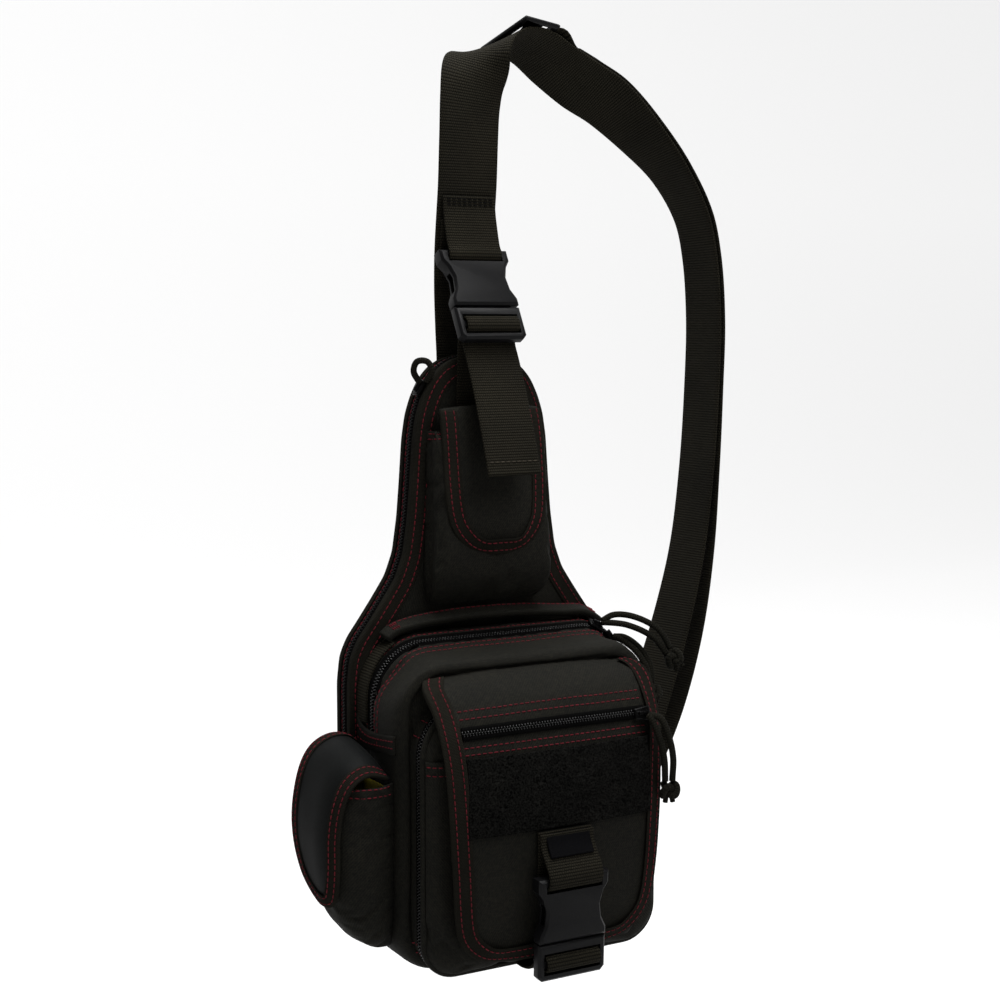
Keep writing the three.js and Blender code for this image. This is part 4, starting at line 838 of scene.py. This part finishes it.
pile = onFlap(frontFlap["loopTop"], frontFlap["loopLow"], frontFlap["loopHalf"], frontFlap["loopLift"], 64, 160)
faceAway(pile, (0, -1, 0))
pile.crease(0.42, 1.5, 31, np.clip(pile.edgeFade(3), 0.25, 1))
pile.crease(0.3, 14, 33)
place(pile.build("loop panel", frontFlap["loopThick"], loopPile), "loop_pile", "loop_panel")
print("front flap ready")

# Webbing

webbing = {"width": 40.0, "strapWidth": 45.0, "tabWidth": 18, "shoulderWidth": 14.6, "thick": 1.9, "step": 1.5}


def softPath(rows, count):  # an even-handed curve through points that lie at uneven distances
    rows = np.asarray(rows, float)
    places = np.vstack([2 * rows[0] - rows[1], rows, 2 * rows[-1] - rows[-2]])
    t = np.linspace(0, len(rows) - 1, count)
    i = np.minimum(t.astype(int), len(rows) - 2)
    f = (t - i)[:, None]
    p = [places[i + k] for k in range(4)]
    gap = [np.maximum(np.linalg.norm(p[k + 1] - p[k], axis=1, keepdims=True) ** 0.5, 1e-4) for k in range(3)]
    m1 = ((p[1] - p[0]) / gap[0] - (p[2] - p[0]) / (gap[0] + gap[1]) + (p[2] - p[1]) / gap[1]) * gap[1]
    m2 = ((p[2] - p[1]) / gap[1] - (p[3] - p[1]) / (gap[1] + gap[2]) + (p[3] - p[2]) / gap[2]) * gap[1]
    return p[1] + m1 * f + (3 * (p[2] - p[1]) - 2 * m1 - m2) * f**2 + (2 * (p[1] - p[2]) + m1 + m2) * f**3


def webStations(rows, count):  # rows: place and the way the width runs
    rows = np.asarray(rows, float)
    return np.hstack([softPath(rows[:, :3], count), straightRows(rows[:, 3:], count)])


def webProfile(width, thick):
    w, t = width / 2, thick / 2
    top = [(x, t) for x in np.linspace(w - 0.7, -w + 0.7, 9)]
    return [(w, -t * 0.4), (w, t * 0.4)] + top + [(-w, t * 0.4), (-w, -t * 0.4)] + [(-x, -t) for x, _ in top]


def webPiece(
    name, stations, width, nodeName, slot="webbing", thick=webbing["thick"], material=strapWeb, sway=0, ease=0
):
    both = evenly(stations, webbing["step"])
    at, across = both[:, :3], eased(both[:, 3:], ease)
    along = unit(np.gradient(at, axis=0))
    across = unit(across - along * np.sum(across * along, -1, keepdims=True))
    face = np.cross(along, across)
    at = at + face * (sway * softNoise(at, 24, 6))[:, None]
    place(sweepPiece(name, at, (across, face), webProfile(width, thick), material), slot, nodeName)
    return at, across, face


def bartack(at, across, along, face, width, rows=5, gap=0.9):  # a close block of stitches that holds webbing down
    made = []
    for k in range(rows):
        middle = at + along * (k - (rows - 1) / 2) * gap + face * 0.1
        path = np.stack([middle + across * x for x in np.linspace(-width / 2, width / 2, 12)])
        made.append((path, np.tile(face, (12, 1))))
    return made


def onWeb(run, share, width, rows, side):  # stitch rows across webbing, at a share of its length
    at, across, face = run
    i = int(round(share * (len(at) - 1)))
    along = unit(at[min(i + 1, len(at) - 1)] - at[max(i - 1, 0)])
    lifted = at[i] + side * face[i] * (webbing["thick"] / 2)
    return bartack(lifted, across[i], along, side * face[i], width, rows, 2.0)


def upright(rows):  # rows of y and z on the middle line, with the width running from side to side
    return [(0, y, z, 1, 0, 0) for y, z in rows]


flapWeb = [
    (flapY(96) - 2.4, 96.8), (flapY(84) - 2.6, 84), (-127.5, 72), (-127.3, 66.5), (-129.8, 62.4), (-135, 62.2),
    (-140, 62.6), (-142.4, 66), (-141.8, 71.5), (-136.5, 79.5), (-131.5, 87.5), (flapY(96) - 5.1, 95.5),
]
footWeb = [
    (-98, 3), (-108, 3), (-117, 5.2), (-122.6, 9.6), (-124.8, 14), (-127.6, 17.2), (-133, 17.8), (-138.2, 17),
    (-140.3, 13.2), (-138.4, 9.2), (-133.5, 8.4), (-129.2, 7.6), (-126.6, 6), (-124.4, 4.8),
]
webPiece("flap webbing", webStations(upright(flapWeb), 240), webbing["width"], "flap_webbing")
webPiece("foot webbing", webStations(upright(footWeb), 240), webbing["width"], "flap_anchor_webbing")

labelTab = {"half": 16, "thick": 0.8, "lift": 0.9}
labelLine = smoothRows([(-130, 95.8), (-132.7, 89), (-136.9, 81.8)], 16)
labelAcross = np.linspace(-labelTab["half"], labelTab["half"], 26)
label = Sheet(np.array([[(x, y - labelTab["lift"], z) for x in labelAcross] for y, z in labelLine]))
faceAway(label, (0, -1, 0)).crease(0.12, 6, 41)
place(label.build("bare label tab", labelTab["thick"], bareLabel), "label", "label_tab")

neckBuckle = {"y": -14.5, "z": 446.0, "lean": math.radians(-28.5)}


def inBuckle(deep, high):  # a place in the leaning neck buckle's own depth and height
    c, s = math.cos(neckBuckle["lean"]), math.sin(neckBuckle["lean"])
    return (neckBuckle["y"] + deep * c - high * s, neckBuckle["z"] + deep * s + high * c)


loopWeb = [
    (-0.6, 487), (0.6, 474), inBuckle(7.2, 21), inBuckle(6.9, 17), inBuckle(4.6, 14.3), inBuckle(0, 14.1),
    inBuckle(-5.2, 14.4), inBuckle(-7.2, 17.5), inBuckle(-6.9, 22), (-6.6, 480), (-3.9, 492), (-2.8, 503),
]
loadWeb = [
    (-21.6, 349), (-21.6, 366), (-22, 385), (-23.4, 400), inBuckle(6.6, -34), inBuckle(4.6, -30.6),
    inBuckle(0, -30.3), inBuckle(-5, -31), inBuckle(-6.4, -35), inBuckle(-5, -39), inBuckle(0, -39.7),
    inBuckle(4.7, -41), inBuckle(6.3, -45), (-35, 394), (-43, 377), (-51, 357), (-58.5, 337), (-65, 318),
]
loop = webPiece("buckle loop webbing", webStations(upright(loopWeb), 260), webbing["width"], "buckle_loop_webbing")
load = webPiece("load webbing", webStations(upright(loadWeb), 360), webbing["width"], "load_webbing")

shoulderStrap = {"layerGap": 3.4, "sliderPlace": (48, 10, 609.5), "sliderLift": 3.95, "sliderLong": 30.0}
leftLeg = [(1.6, 330), (1.6, 360), (1.8, 392), (3.6, 415), (5, 440), (4.4, 465), (2.2, 485), (-1, 510), (-3, 540)]
arch = [  # over the peg: place, then the way the width runs
    (1, -3.5, 566, 1, 0, 0.1), (4, -3, 584, 0.94, -0.15, 0.3), (11, 0, 597, 0.82, -0.42, 0.38),
    (24, 5, 606, 0.6, -0.72, 0.32), (40, 9, 610, 0.35, -0.9, 0.25),
]
rightLeg = [  # the inner layer
    (57, 11, 608, 0.2, -0.93, 0.3), (78, 13, 596.5, 0.15, -0.85, 0.5), (98.5, 12, 584.5, 0.18, -0.76, 0.62),
    (119.7, 10, 573, 0.12, -0.76, 0.6), (148, 6, 548, -0.02, -0.85, 0.4), (170, 3, 524, -0.08, -0.93, 0.22),
    (188, 1, 494, -0.06, -0.98, 0.1), (195, 0, 465, -0.05, -1, 0.04), (199, 0, 420, -0.04, -1, 0),
    (198, 0, 370, -0.04, -1, 0), (194, 0, 310, -0.04, -1, 0), (186, 0, 250, -0.03, -1, 0),
    (170, -2, 195, 0.03, -1, 0), (150, -5, 145, 0.1, -1, 0), (131, -8, 104, 0.12, -1, 0),
]
ringTurn = [
    (120.5, -9, 85, 0.06, -1, 0), (117.5, -9.5, 75, 0, -1, 0), (119.6, -9.5, 69.4, 0, -1, 0),
    (124.6, -9.5, 69.6, 0, -1, 0), (127.2, -9, 75, 0.04, -1, 0),
]
layerSwing = (0, 0, 0, 0, 0, 0, 0, 0, 0, 0, 1.5, 5, 10, 12, 9)  # how far the outer layer stands off, by row


def outerLayer():  # back up outside the inner layer, to the slider's lower bar
    rows = np.array(rightLeg, float)
    made = []
    for i in range(len(rows) - 1, 0, -1):
        along = unit(rows[min(i + 1, len(rows) - 1), :3] - rows[i - 1, :3])
        across = unit(rows[i, 3:] - along * np.dot(rows[i, 3:], along))
        off = shoulderStrap["layerGap"] + layerSwing[i]
        made.append(np.hstack([rows[i, :3] + np.cross(across, along) * off, rows[i, 3:]]))
    along = unit((17, 2, -2))
    across = unit(np.array((0.28, -0.92, 0.28)) - along * np.dot((0.28, -0.92, 0.28), along))
    middle = np.array(shoulderStrap["sliderPlace"]) + np.cross(across, along) * shoulderStrap["sliderLift"]
    for past in (7, 1):
        made.append(np.hstack([middle + along * (shoulderStrap["sliderLong"] / 2 + past), across]))
    return made


strapRun = webStations(upright(leftLeg) + arch + rightLeg + ringTurn + outerLayer(), 1300)
strap = webPiece("shoulder strap", strapRun, webbing["strapWidth"], "shoulder_strap", ease=160)
tabRows = [(98.9, 40), (108, 47), (116, 55), (120, 61), (124, 62), (126, 57), (120, 48), (110, 40), (99.6, 33)]
webPiece("ring tab", webStations([(x, -9.5, z, 0, -1, 0) for x, z in tabRows], 160), webbing["tabWidth"], "ring_tab")
stitchPiece("strap bartacks", onWeb(loop, 0.955, 36, 3, -1) + onWeb(strap, 0.006, 40, 3, -1), "webbing", darkThread)
stitchPiece("load webbing hem", onWeb(load, 0.955, 37, 1, 1), "webbing", paleThread)
print("webbing ready")

# Neck pocket and its flap

neckPocket = {"back": -20.4, "pleat": 3.2, "swell": 0.03, "cap": 2.0, "flapThick": 2.2, "flapCurl": 2.4, "binding": 11}
neckRows = [  # height, front depth, half width
    (346, -31.5, 42), (332, -34.5, 42.5), (312, -37, 43), (290, -38.8, 43.5), (268, -40.5, 44), (252, -39.5, 44.5),
    (241, -35, 44), (234, -28.5, 43), (230, -23.2, 42),
]


def neckSection(z, front, half, count=64):
    deep = front - neckPocket["back"]
    pull = neckPocket["pleat"] * min(1, max(0, -deep / 10))
    left = [(-half, 0), (-half + pull, 0.45), (-half + 1, 0.8), (-half + 5, 1), (-half / 2, 1)]
    rows = left + [(0, 1)] + [(-x, t) for x, t in left[::-1]]
    bow = [0, 0, 0, 0, 0.8, 1.2, 0.8, 0, 0, 0, 0]
    line = [(x, neckPocket["back"] + deep * t - b, z) for (x, t), b in zip(rows, bow)]
    return smoothRows(line, count)


pocket = faceAway(Sheet(np.stack([neckSection(*row) for row in smoothRows(neckRows, 56)])), (0, -1, 0))
settle(pocket, neckPocket["swell"], neckPocket["cap"], 12)
pocket.wrinkle(0.55, 19, 52, 4)
sewOn(pocket, "neck pocket", 1.5, "neck_pocket")
redRows = [pocket.level(t) for t in (0.025, 0.06)]
neckFlapRows = [
    (-23.9, 356, 36.5), (-26.2, 360.6, 37), (-30, 362.2, 37.2), (-33.6, 359.6, 37.5), (-36.4, 350, 37.8),
    (-39, 334, 38), (-41.2, 314, 38), (-42.8, 296, 37), (-43.8, 284, 34.5), (-44.2, 275, 29), (-44.2, 268, 21),
    (-44, 264.5, 11),
]
neckFlap = faceAway(flapSheet(neckFlapRows, 64, 44, neckPocket["flapThick"], neckPocket["flapCurl"]), (0, -1, 0.1))
neckFlap.wrinkle(0.5, 30, 54, 5)
sewOn(neckFlap, "neck flap", neckPocket["flapThick"], "neck_flap")
redRows += boundEdge("neck flap binding", *rimOf(neckFlap, 16), width=neckPocket["binding"], wrap=2.6)
stitchPiece("neck stitching", redRows)
print("neck ready")

# Carry handle and the webbing it is sewn to

carryHandle = {"width": 11.5, "thick": 4.6, "sway": 0.3, "threadAt": -3.6}
handleRows = [
    (-78, 211.6, -0.95, -0.3), (-72, 215.6, -0.95, -0.3), (-56, 219.6, -0.93, -0.36), (-28, 222, -0.92, -0.4),
    (0, 222.5, -0.92, -0.4), (28, 221.9, -0.92, -0.4), (56, 219.6, -0.93, -0.36), (76, 217.6, -0.95, -0.3),
    (85.5, 212.9, -0.95, -0.3), (88, 209.6, -0.97, -0.2),
]
at, across, face = webPiece(
    "carry handle", webStations([(x, -28.5, z, 0, ay, az) for x, z, ay, az in handleRows], 240), carryHandle["width"],
    "carry_handle", "canvas", carryHandle["thick"], bagCloth, carryHandle["sway"],
)
up = face if face[len(face) // 2][2] > 0 else -face
top = at + up * (carryHandle["thick"] / 2 + 0.05)
redRows = [((top + across * carryHandle["threadAt"])[6:-6], up[6:-6])]
for i in (6, len(at) - 7):
    redRows += bartack(top[i], across[i], unit(at[i + 1] - at[i - 1]), up[i], 9, 4, 1.4)
stitchPiece("handle stitching", redRows)
shoulderRing = insetRing(boxRing(93, 212.5, 1.5, 39, 25, 25), -1.35)
for side, first, last in (("left", 36, 47), ("right", 81, 98)):  # the ring's points that the webbing covers
    run = shoulderRing[first : last + 1]
    stations = np.hstack([laid(run, -28.0), np.tile([0.0, -1.0, 0.0], (len(run), 1))])
    webPiece("shoulder webbing " + side, stations, webbing["shoulderWidth"], "shoulder_webbing_" + side)
print("handle ready")

# Side pocket, its lining and its wide flap

sidePocket = {"wall": -93.9, "pinch": 7.0, "swell": 0.035, "cap": 3.0}
sideRows = [  # height, reach out from the wall, front and rear depths
    (126, 38, -79, -27), (110, 41, -79.5, -26), (85, 42.5, -79.5, -25), (62, 40, -79, -25), (46, 34.5, -78, -26),
    (33, 27.5, -76.5, -28), (23, 17.5, -74, -30), (17, 6, -71, -33),
]


def sideSection(z, reach, front, rear, count=72):
    turn = np.linspace(-math.pi / 2, math.pi / 2, count)
    bulge = np.maximum(np.cos(turn), 0) ** 0.62
    side = np.sign(np.sin(turn)) * np.abs(np.sin(turn)) ** 0.62
    wall = np.full(count, sidePocket["wall"])
    wall[-1] = -92.5
    deep = (front + rear) / 2 - (rear - front) / 2 * side
    meeting = np.clip(1 - reach * bulge / 15, 0, 1) ** 1.5 * (side > 0)  # drawn in where it meets the gusset
    return np.stack([wall - reach * bulge, deep + sidePocket["pinch"] * meeting, np.full(count, z)], 1)


bellow = faceAway(Sheet(np.stack([sideSection(*row) for row in smoothRows(sideRows, 60)])), (-1, 0, 0))
settle(bellow, sidePocket["swell"], sidePocket["cap"], 14)
lowHalf = np.clip((96 - bellow.grid[..., 2]) / 50, 0.25, 1)
bellow.crease(1.0, 20, 61, bellow.edgeFade(4) * lowHalf)
sewOn(bellow, "side pocket", 1.5, "side_pocket")
redRows = [bellow.level(t, 0.01, 0.99, 80) for t in (0.02, 0.07)]
bandTop = smoothRows([(-21.5, 161.5), (-29, 156), (-38, 153.3), (-50, 153.6), (-62, 155), (-76, 157)], 30)
bandX = sidePocket["wall"] - 1.8
sideBand = Sheet([[(bandX, y, z) for z in np.linspace(top, 139 - 0.1 * (y + 21.5), 9)] for y, top in bandTop])
faceAway(sideBand, (-1, 0, 0)).wrinkle(0.25, 14, 63, 2)
sewOn(sideBand, "side flap band", 1.6, "side_flap_band")
redRows += [sideBand.line(np.linspace(0.02, 0.98, 40), np.full(40, t)) for t in (0.3, 0.66)]

sideFlapCut = {"thick": 1.9, "rows": 78, "columns": 46, "binding": 8.4}
flapTable = [  # x, z, front and rear depths, and how far the front edge droops and tucks in
    (-98.1, 139, -73, -22, 11, 0), (-100.6, 143.5, -75, -20, 12, 3), (-106, 147, -77, -18.5, 10, 6),
    (-115, 147.4, -78, -18.5, 8, 7), (-125.5, 142.6, -78.5, -19, 7, 7), (-133, 133, -78, -20, 6, 7),
    (-138, 118, -77, -21, 6, 7), (-140.6, 100, -76.5, -22, 5, 7.5), (-140.5, 82, -76, -25, 4, 7.5),
    (-139, 66, -74.5, -32, 2, 6), (-137.4, 56, -71.5, -42, 1, 4.5), (-136.4, 50, -67, -54, 0, 3.5),
]
rows = smoothRows(flapTable, sideFlapCut["rows"])
slope = unit(np.gradient(rows[:, :2], axis=0))
nx, nz = slope[:, 1:2], -slope[:, 0:1]
share = np.linspace(0, 1, sideFlapCut["columns"])[None, :]
off = sideFlapCut["thick"] - np.where(share < 0.5, rows[:, 5:6], 0) * np.abs(2 * share - 1) ** 3
high = rows[:, 1:2] + nz * off - rows[:, 4:5] * (1 - share) ** 1.6
sideFlap = Sheet(np.stack([rows[:, :1] + nx * off, mix(rows[:, 2:3], rows[:, 3:4], share), high], -1))
faceAway(sideFlap, (-1, 0, 0.4)).wrinkle(0.55, 36, 66, 5)
place(sideFlap.build("side flap", 1.8, smoothCloth), "smooth_cloth", "side_flap")
redRows += boundEdge("side flap binding", *rimOf(sideFlap, 4), width=sideFlapCut["binding"], wrap=1.4)
stitchPiece("side stitching", redRows)
# the lining goes along the wall and round the rear
liningPlan = [(-96.5, -66), (-96.5, -46), (-97.5, -35), (-105, -30.5), (-117, -30), (-127, -33)]
lining = Sheet([[(x, y, z) for z in np.linspace(122, 70, 20)] for x, y in smoothRows(liningPlan, 30)])
faceAway(lining, (-1, -1, 0)).crease(0.4, 16, 68)
place(lining.build("side pocket lining", 1.0, yellowLining), "lining", "side_pocket_lining")
print("side pocket ready")

# Buckles, slider, ring and zip sliders: the frame's own forms with moulded edges

moulding = {"buckle": 0.7, "slider": 0.6, "ring": 0.2, "zip": 0.55}


def mouldedPiece(nodeName, edge, material, slot):
    obj = linked(nodeName.replace("_", " "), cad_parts[nodeName].data.copy())
    modifier(obj, "WELD", merge_threshold=1e-6)
    modifier(obj, "DECIMATE", decimate_type="DISSOLVE", angle_limit=math.radians(1))
    corners = {"limit_method": "ANGLE", "angle_limit": math.radians(28)}
    modifier(obj, "BEVEL", width=edge / 1000, segments=3, use_clamp_overlap=True, **corners)
    made = bpy.data.meshes.new_from_object(obj.evaluated_get(bpy.context.evaluated_depsgraph_get()))
    obj.modifiers.clear()
    obj.data = made
    made.polygons.foreach_set("use_smooth", [True] * len(made.polygons))
    made.set_sharp_from_angle(angle=math.radians(32))
    made.materials.clear()
    made.materials.append(material)
    return place(obj, slot, nodeName)


for nodeName in ("flap_buckle_socket", "flap_buckle_plug", "strap_buckle_socket", "strap_buckle_plug"):
    mouldedPiece(nodeName, moulding["buckle"], buckleResin, "acetal")
mouldedPiece("strap_slider", moulding["slider"], buckleResin, "acetal")
mouldedPiece("strap_ring", moulding["ring"], buckleResin, "acetal")
for nodeName in ("shell_zip_slider", "main_zip_slider_upper", "main_zip_slider_lower", "flap_zip_slider"):
    mouldedPiece(nodeName, moulding["zip"], sliderPaint, "slider")
print("hardware ready")

# Pull cords

pullCord = {"thick": 4.3, "sides": 12, "step": 1.2}
pullKnot = {"wide": 1.8, "deep": 1.55, "drop": 6.2, "wave": 3.3, "turnRadius": 2.4, "tailRadius": 1.75}


def tubePiece(name, path, radius):
    along = unit(np.gradient(path, axis=0))
    side = unit(np.cross(along[0], [0.3, 0.5, 0.8]))
    sides = []
    for a in along:
        side = unit(side - a * np.dot(side, a))
        sides.append(side)
    sides = np.array(sides)
    return sweepPiece(name, path, (sides, np.cross(along, sides)), circle(radius, pullCord["sides"]), cordBraid)


def cordPiece(name, path, nodeName):
    cord = place(tubePiece(name, path, pullCord["thick"] / 2), "cordage", nodeName)


def joined(name, parts):
    first = parts[0]
    chosen = {"selected_editable_objects": parts, "selected_objects": parts}
    with bpy.context.temp_override(active_object=first, object=first, **chosen):
        bpy.ops.object.join()
    first.name = name
    return first


def knotPiece(name, top, down):  # a tight round knot with two short tails
    down = unit(down)
    side = unit(np.cross(down, [0.2, 1, 0.1]))
    other = np.cross(down, side)
    t = np.linspace(0, 2 * math.pi, 90)
    around = pullKnot["wide"] * (np.sin(t) + 2 * np.sin(2 * t))
    about = pullKnot["deep"] * (np.cos(t) - 2 * np.cos(2 * t))
    drop = pullKnot["drop"] - pullKnot["wave"] * np.sin(3 * t)
    ball = top + side * around[:, None] + other * about[:, None] + down * drop[:, None]
    tails = []
    for sign in (-1, 1):
        s = np.linspace(0, 1, 14)[:, None]
        tails.append(top + down * (8 + 6.5 * s) + side * sign * (1.5 + 1.0 * s) + other * sign * 0.5 * s)
    ties = [tubePiece(name, ball, pullKnot["turnRadius"])]
    ties += [tubePiece(name + " tail", tail, pullKnot["tailRadius"]) for tail in tails]
    return joined(name, ties)


pulls = {  # a path, the way its strands stand apart, and how far they bow
    "main_pull_upper": (
        [(82.6, -43.2, 210.9), (88.5, -46, 212.8), (100, -53.4, 211.4), (114.4, -63.4, 202.8), (121.6, -68.4, 190.2)],
        (0.6, -0.1, 0.79), 1.2,
    ),
    "main_pull_lower": (
        [(93.2, -42.2, 199.2), (98.6, -45.2, 198), (105.2, -53.1, 191.6), (108.8, -62.1, 180.4), (108.3, -66.1, 168.4)],
        (0.85, 0.5, 0.1), 1.0,
    ),
    "flap_pull": (
        [(66.6, -124.2, 162.2), (70.4, -127, 160), (74.2, -130.4, 149), (77.6, -131.7, 134), (78.6, -130.7, 118)],
        (0.95, -0.3, 0), 0.9,
    ),
}
for nodeName, (points, side, apart) in pulls.items():
    points, side = np.array(points, float), unit(side)
    name = nodeName.replace("_", " ")
    knot = place(knotPiece(name + " knot", points[-1], points[-1] - points[-2]), "cordage", nodeName + "_knot")
    spread = pullCord["thick"] / 2 + 0.3 + apart * np.sin(np.linspace(0, math.pi, len(points)))
    spread[0] = 0.8  # both strands come out of the slider's loop
    for strand, sign in (("a", -1), ("b", 1)):
        path = evenly(softPath(points + sign * spread[:, None] * side, 60), pullCord["step"])
        cordPiece(name + " cord " + strand, path, nodeName + "_cord_" + strand)
loopPoints = [
    (-42.4, -11.8, 377.4), (-47.5, -12.5, 385.5), (-46.6, -16, 392), (-41.5, -20.5, 392), (-38.6, -21.5, 386),
    (-40.8, -17.2, 378.8),
]
path = evenly(softPath(loopPoints, 90), pullCord["step"])
cordPiece("compartment pull cord", path, "shell_pull_cord")
print("pull cords ready")

# Studio

studio = {
    "floorDrop": 0.09, "wallBack": 2.4, "fillet": 0.8, "glow": 0.74, "paper": 0.25, "key": 6, "fill": 0.4, "top": 76,
    "world": 0.15,
}


def softbox(name, at, target, size, power):
    lamp = bpy.data.lights.new(name, "AREA")
    lamp.shape = "SQUARE"
    lamp.size = size
    lamp.energy = power
    obj = linked(name, lamp)
    obj.location = at
    obj.rotation_euler = (Vector(target) - Vector(at)).to_track_quat("-Z", "Y").to_euler()
    return obj


floorZ = float(cadBox[0][2]) - studio["floorDrop"]
wall, fillet = studio["wallBack"], studio["fillet"]
bend = np.radians(np.linspace(0, 90, 33))
rounded = [(wall - fillet * (1 - math.sin(a)), fillet * (1 - math.cos(a))) for a in bend]
sweepLine = [(-6.0, 0.0)] + rounded + [(wall, 5.0)]
verts = [(x, y, floorZ + z) for y, z in sweepLine for x in (-6, 6)]
mesh = bpy.data.meshes.new("floor")
mesh.from_pydata(verts, [], [(2 * i, 2 * i + 1, 2 * i + 3, 2 * i + 2) for i in range(len(sweepLine) - 1)])
mesh.polygons.foreach_set("use_smooth", [True] * len(mesh.polygons))
paper, _, paperShader = finish("paper", 0.9, 0.2)
paperShader.inputs["Base Color"].default_value = (studio["paper"],) * 3 + (1,)
paperShader.inputs["Emission Color"].default_value = (1, 1, 1, 1)
paperShader.inputs["Emission Strength"].default_value = studio["glow"]
mesh.materials.append(paper)
linked("floor", mesh)

bagMiddle = (-0.04, -0.05, -0.31)
softbox("key light", (0.15, -0.8, 0.4), bagMiddle, 0.5, studio["key"])
softbox("fill light", (-1.8, -1.5, 0.4), bagMiddle, 1.6, studio["fill"])
softbox("top light", (0.1, -0.15, 1.4), bagMiddle, 1.4, studio["top"])
world = bpy.data.worlds.new("studio")
world.use_nodes = True
world.node_tree.nodes["Background"].inputs["Color"].default_value = (1, 1, 1, 1)
world.node_tree.nodes["Background"].inputs["Strength"].default_value = studio["world"]
bpy.context.scene.world = world
bpy.context.scene.view_settings.view_transform = "Standard"

camera = {"target": (-0.040, -0.054, -0.30905), "turn": -30.0, "rise": 5.65, "away": 1.2, "lens": 64.8}
turn, rise = math.radians(camera["turn"]), math.radians(camera["rise"])
backward = Vector((math.sin(turn) * math.cos(rise), -math.cos(turn) * math.cos(rise), math.sin(rise)))
lens = bpy.data.cameras.new("camera")
lens.lens = camera["lens"]
lens.sensor_width = 36
lens.clip_start = 0.01
eye = linked("camera", lens)
eye.location = Vector(camera["target"]) + backward * camera["away"]
eye.rotation_euler = (-backward).to_track_quat("-Z", "Y").to_euler()
bpy.context.scene.camera = eye

print("bag ready")
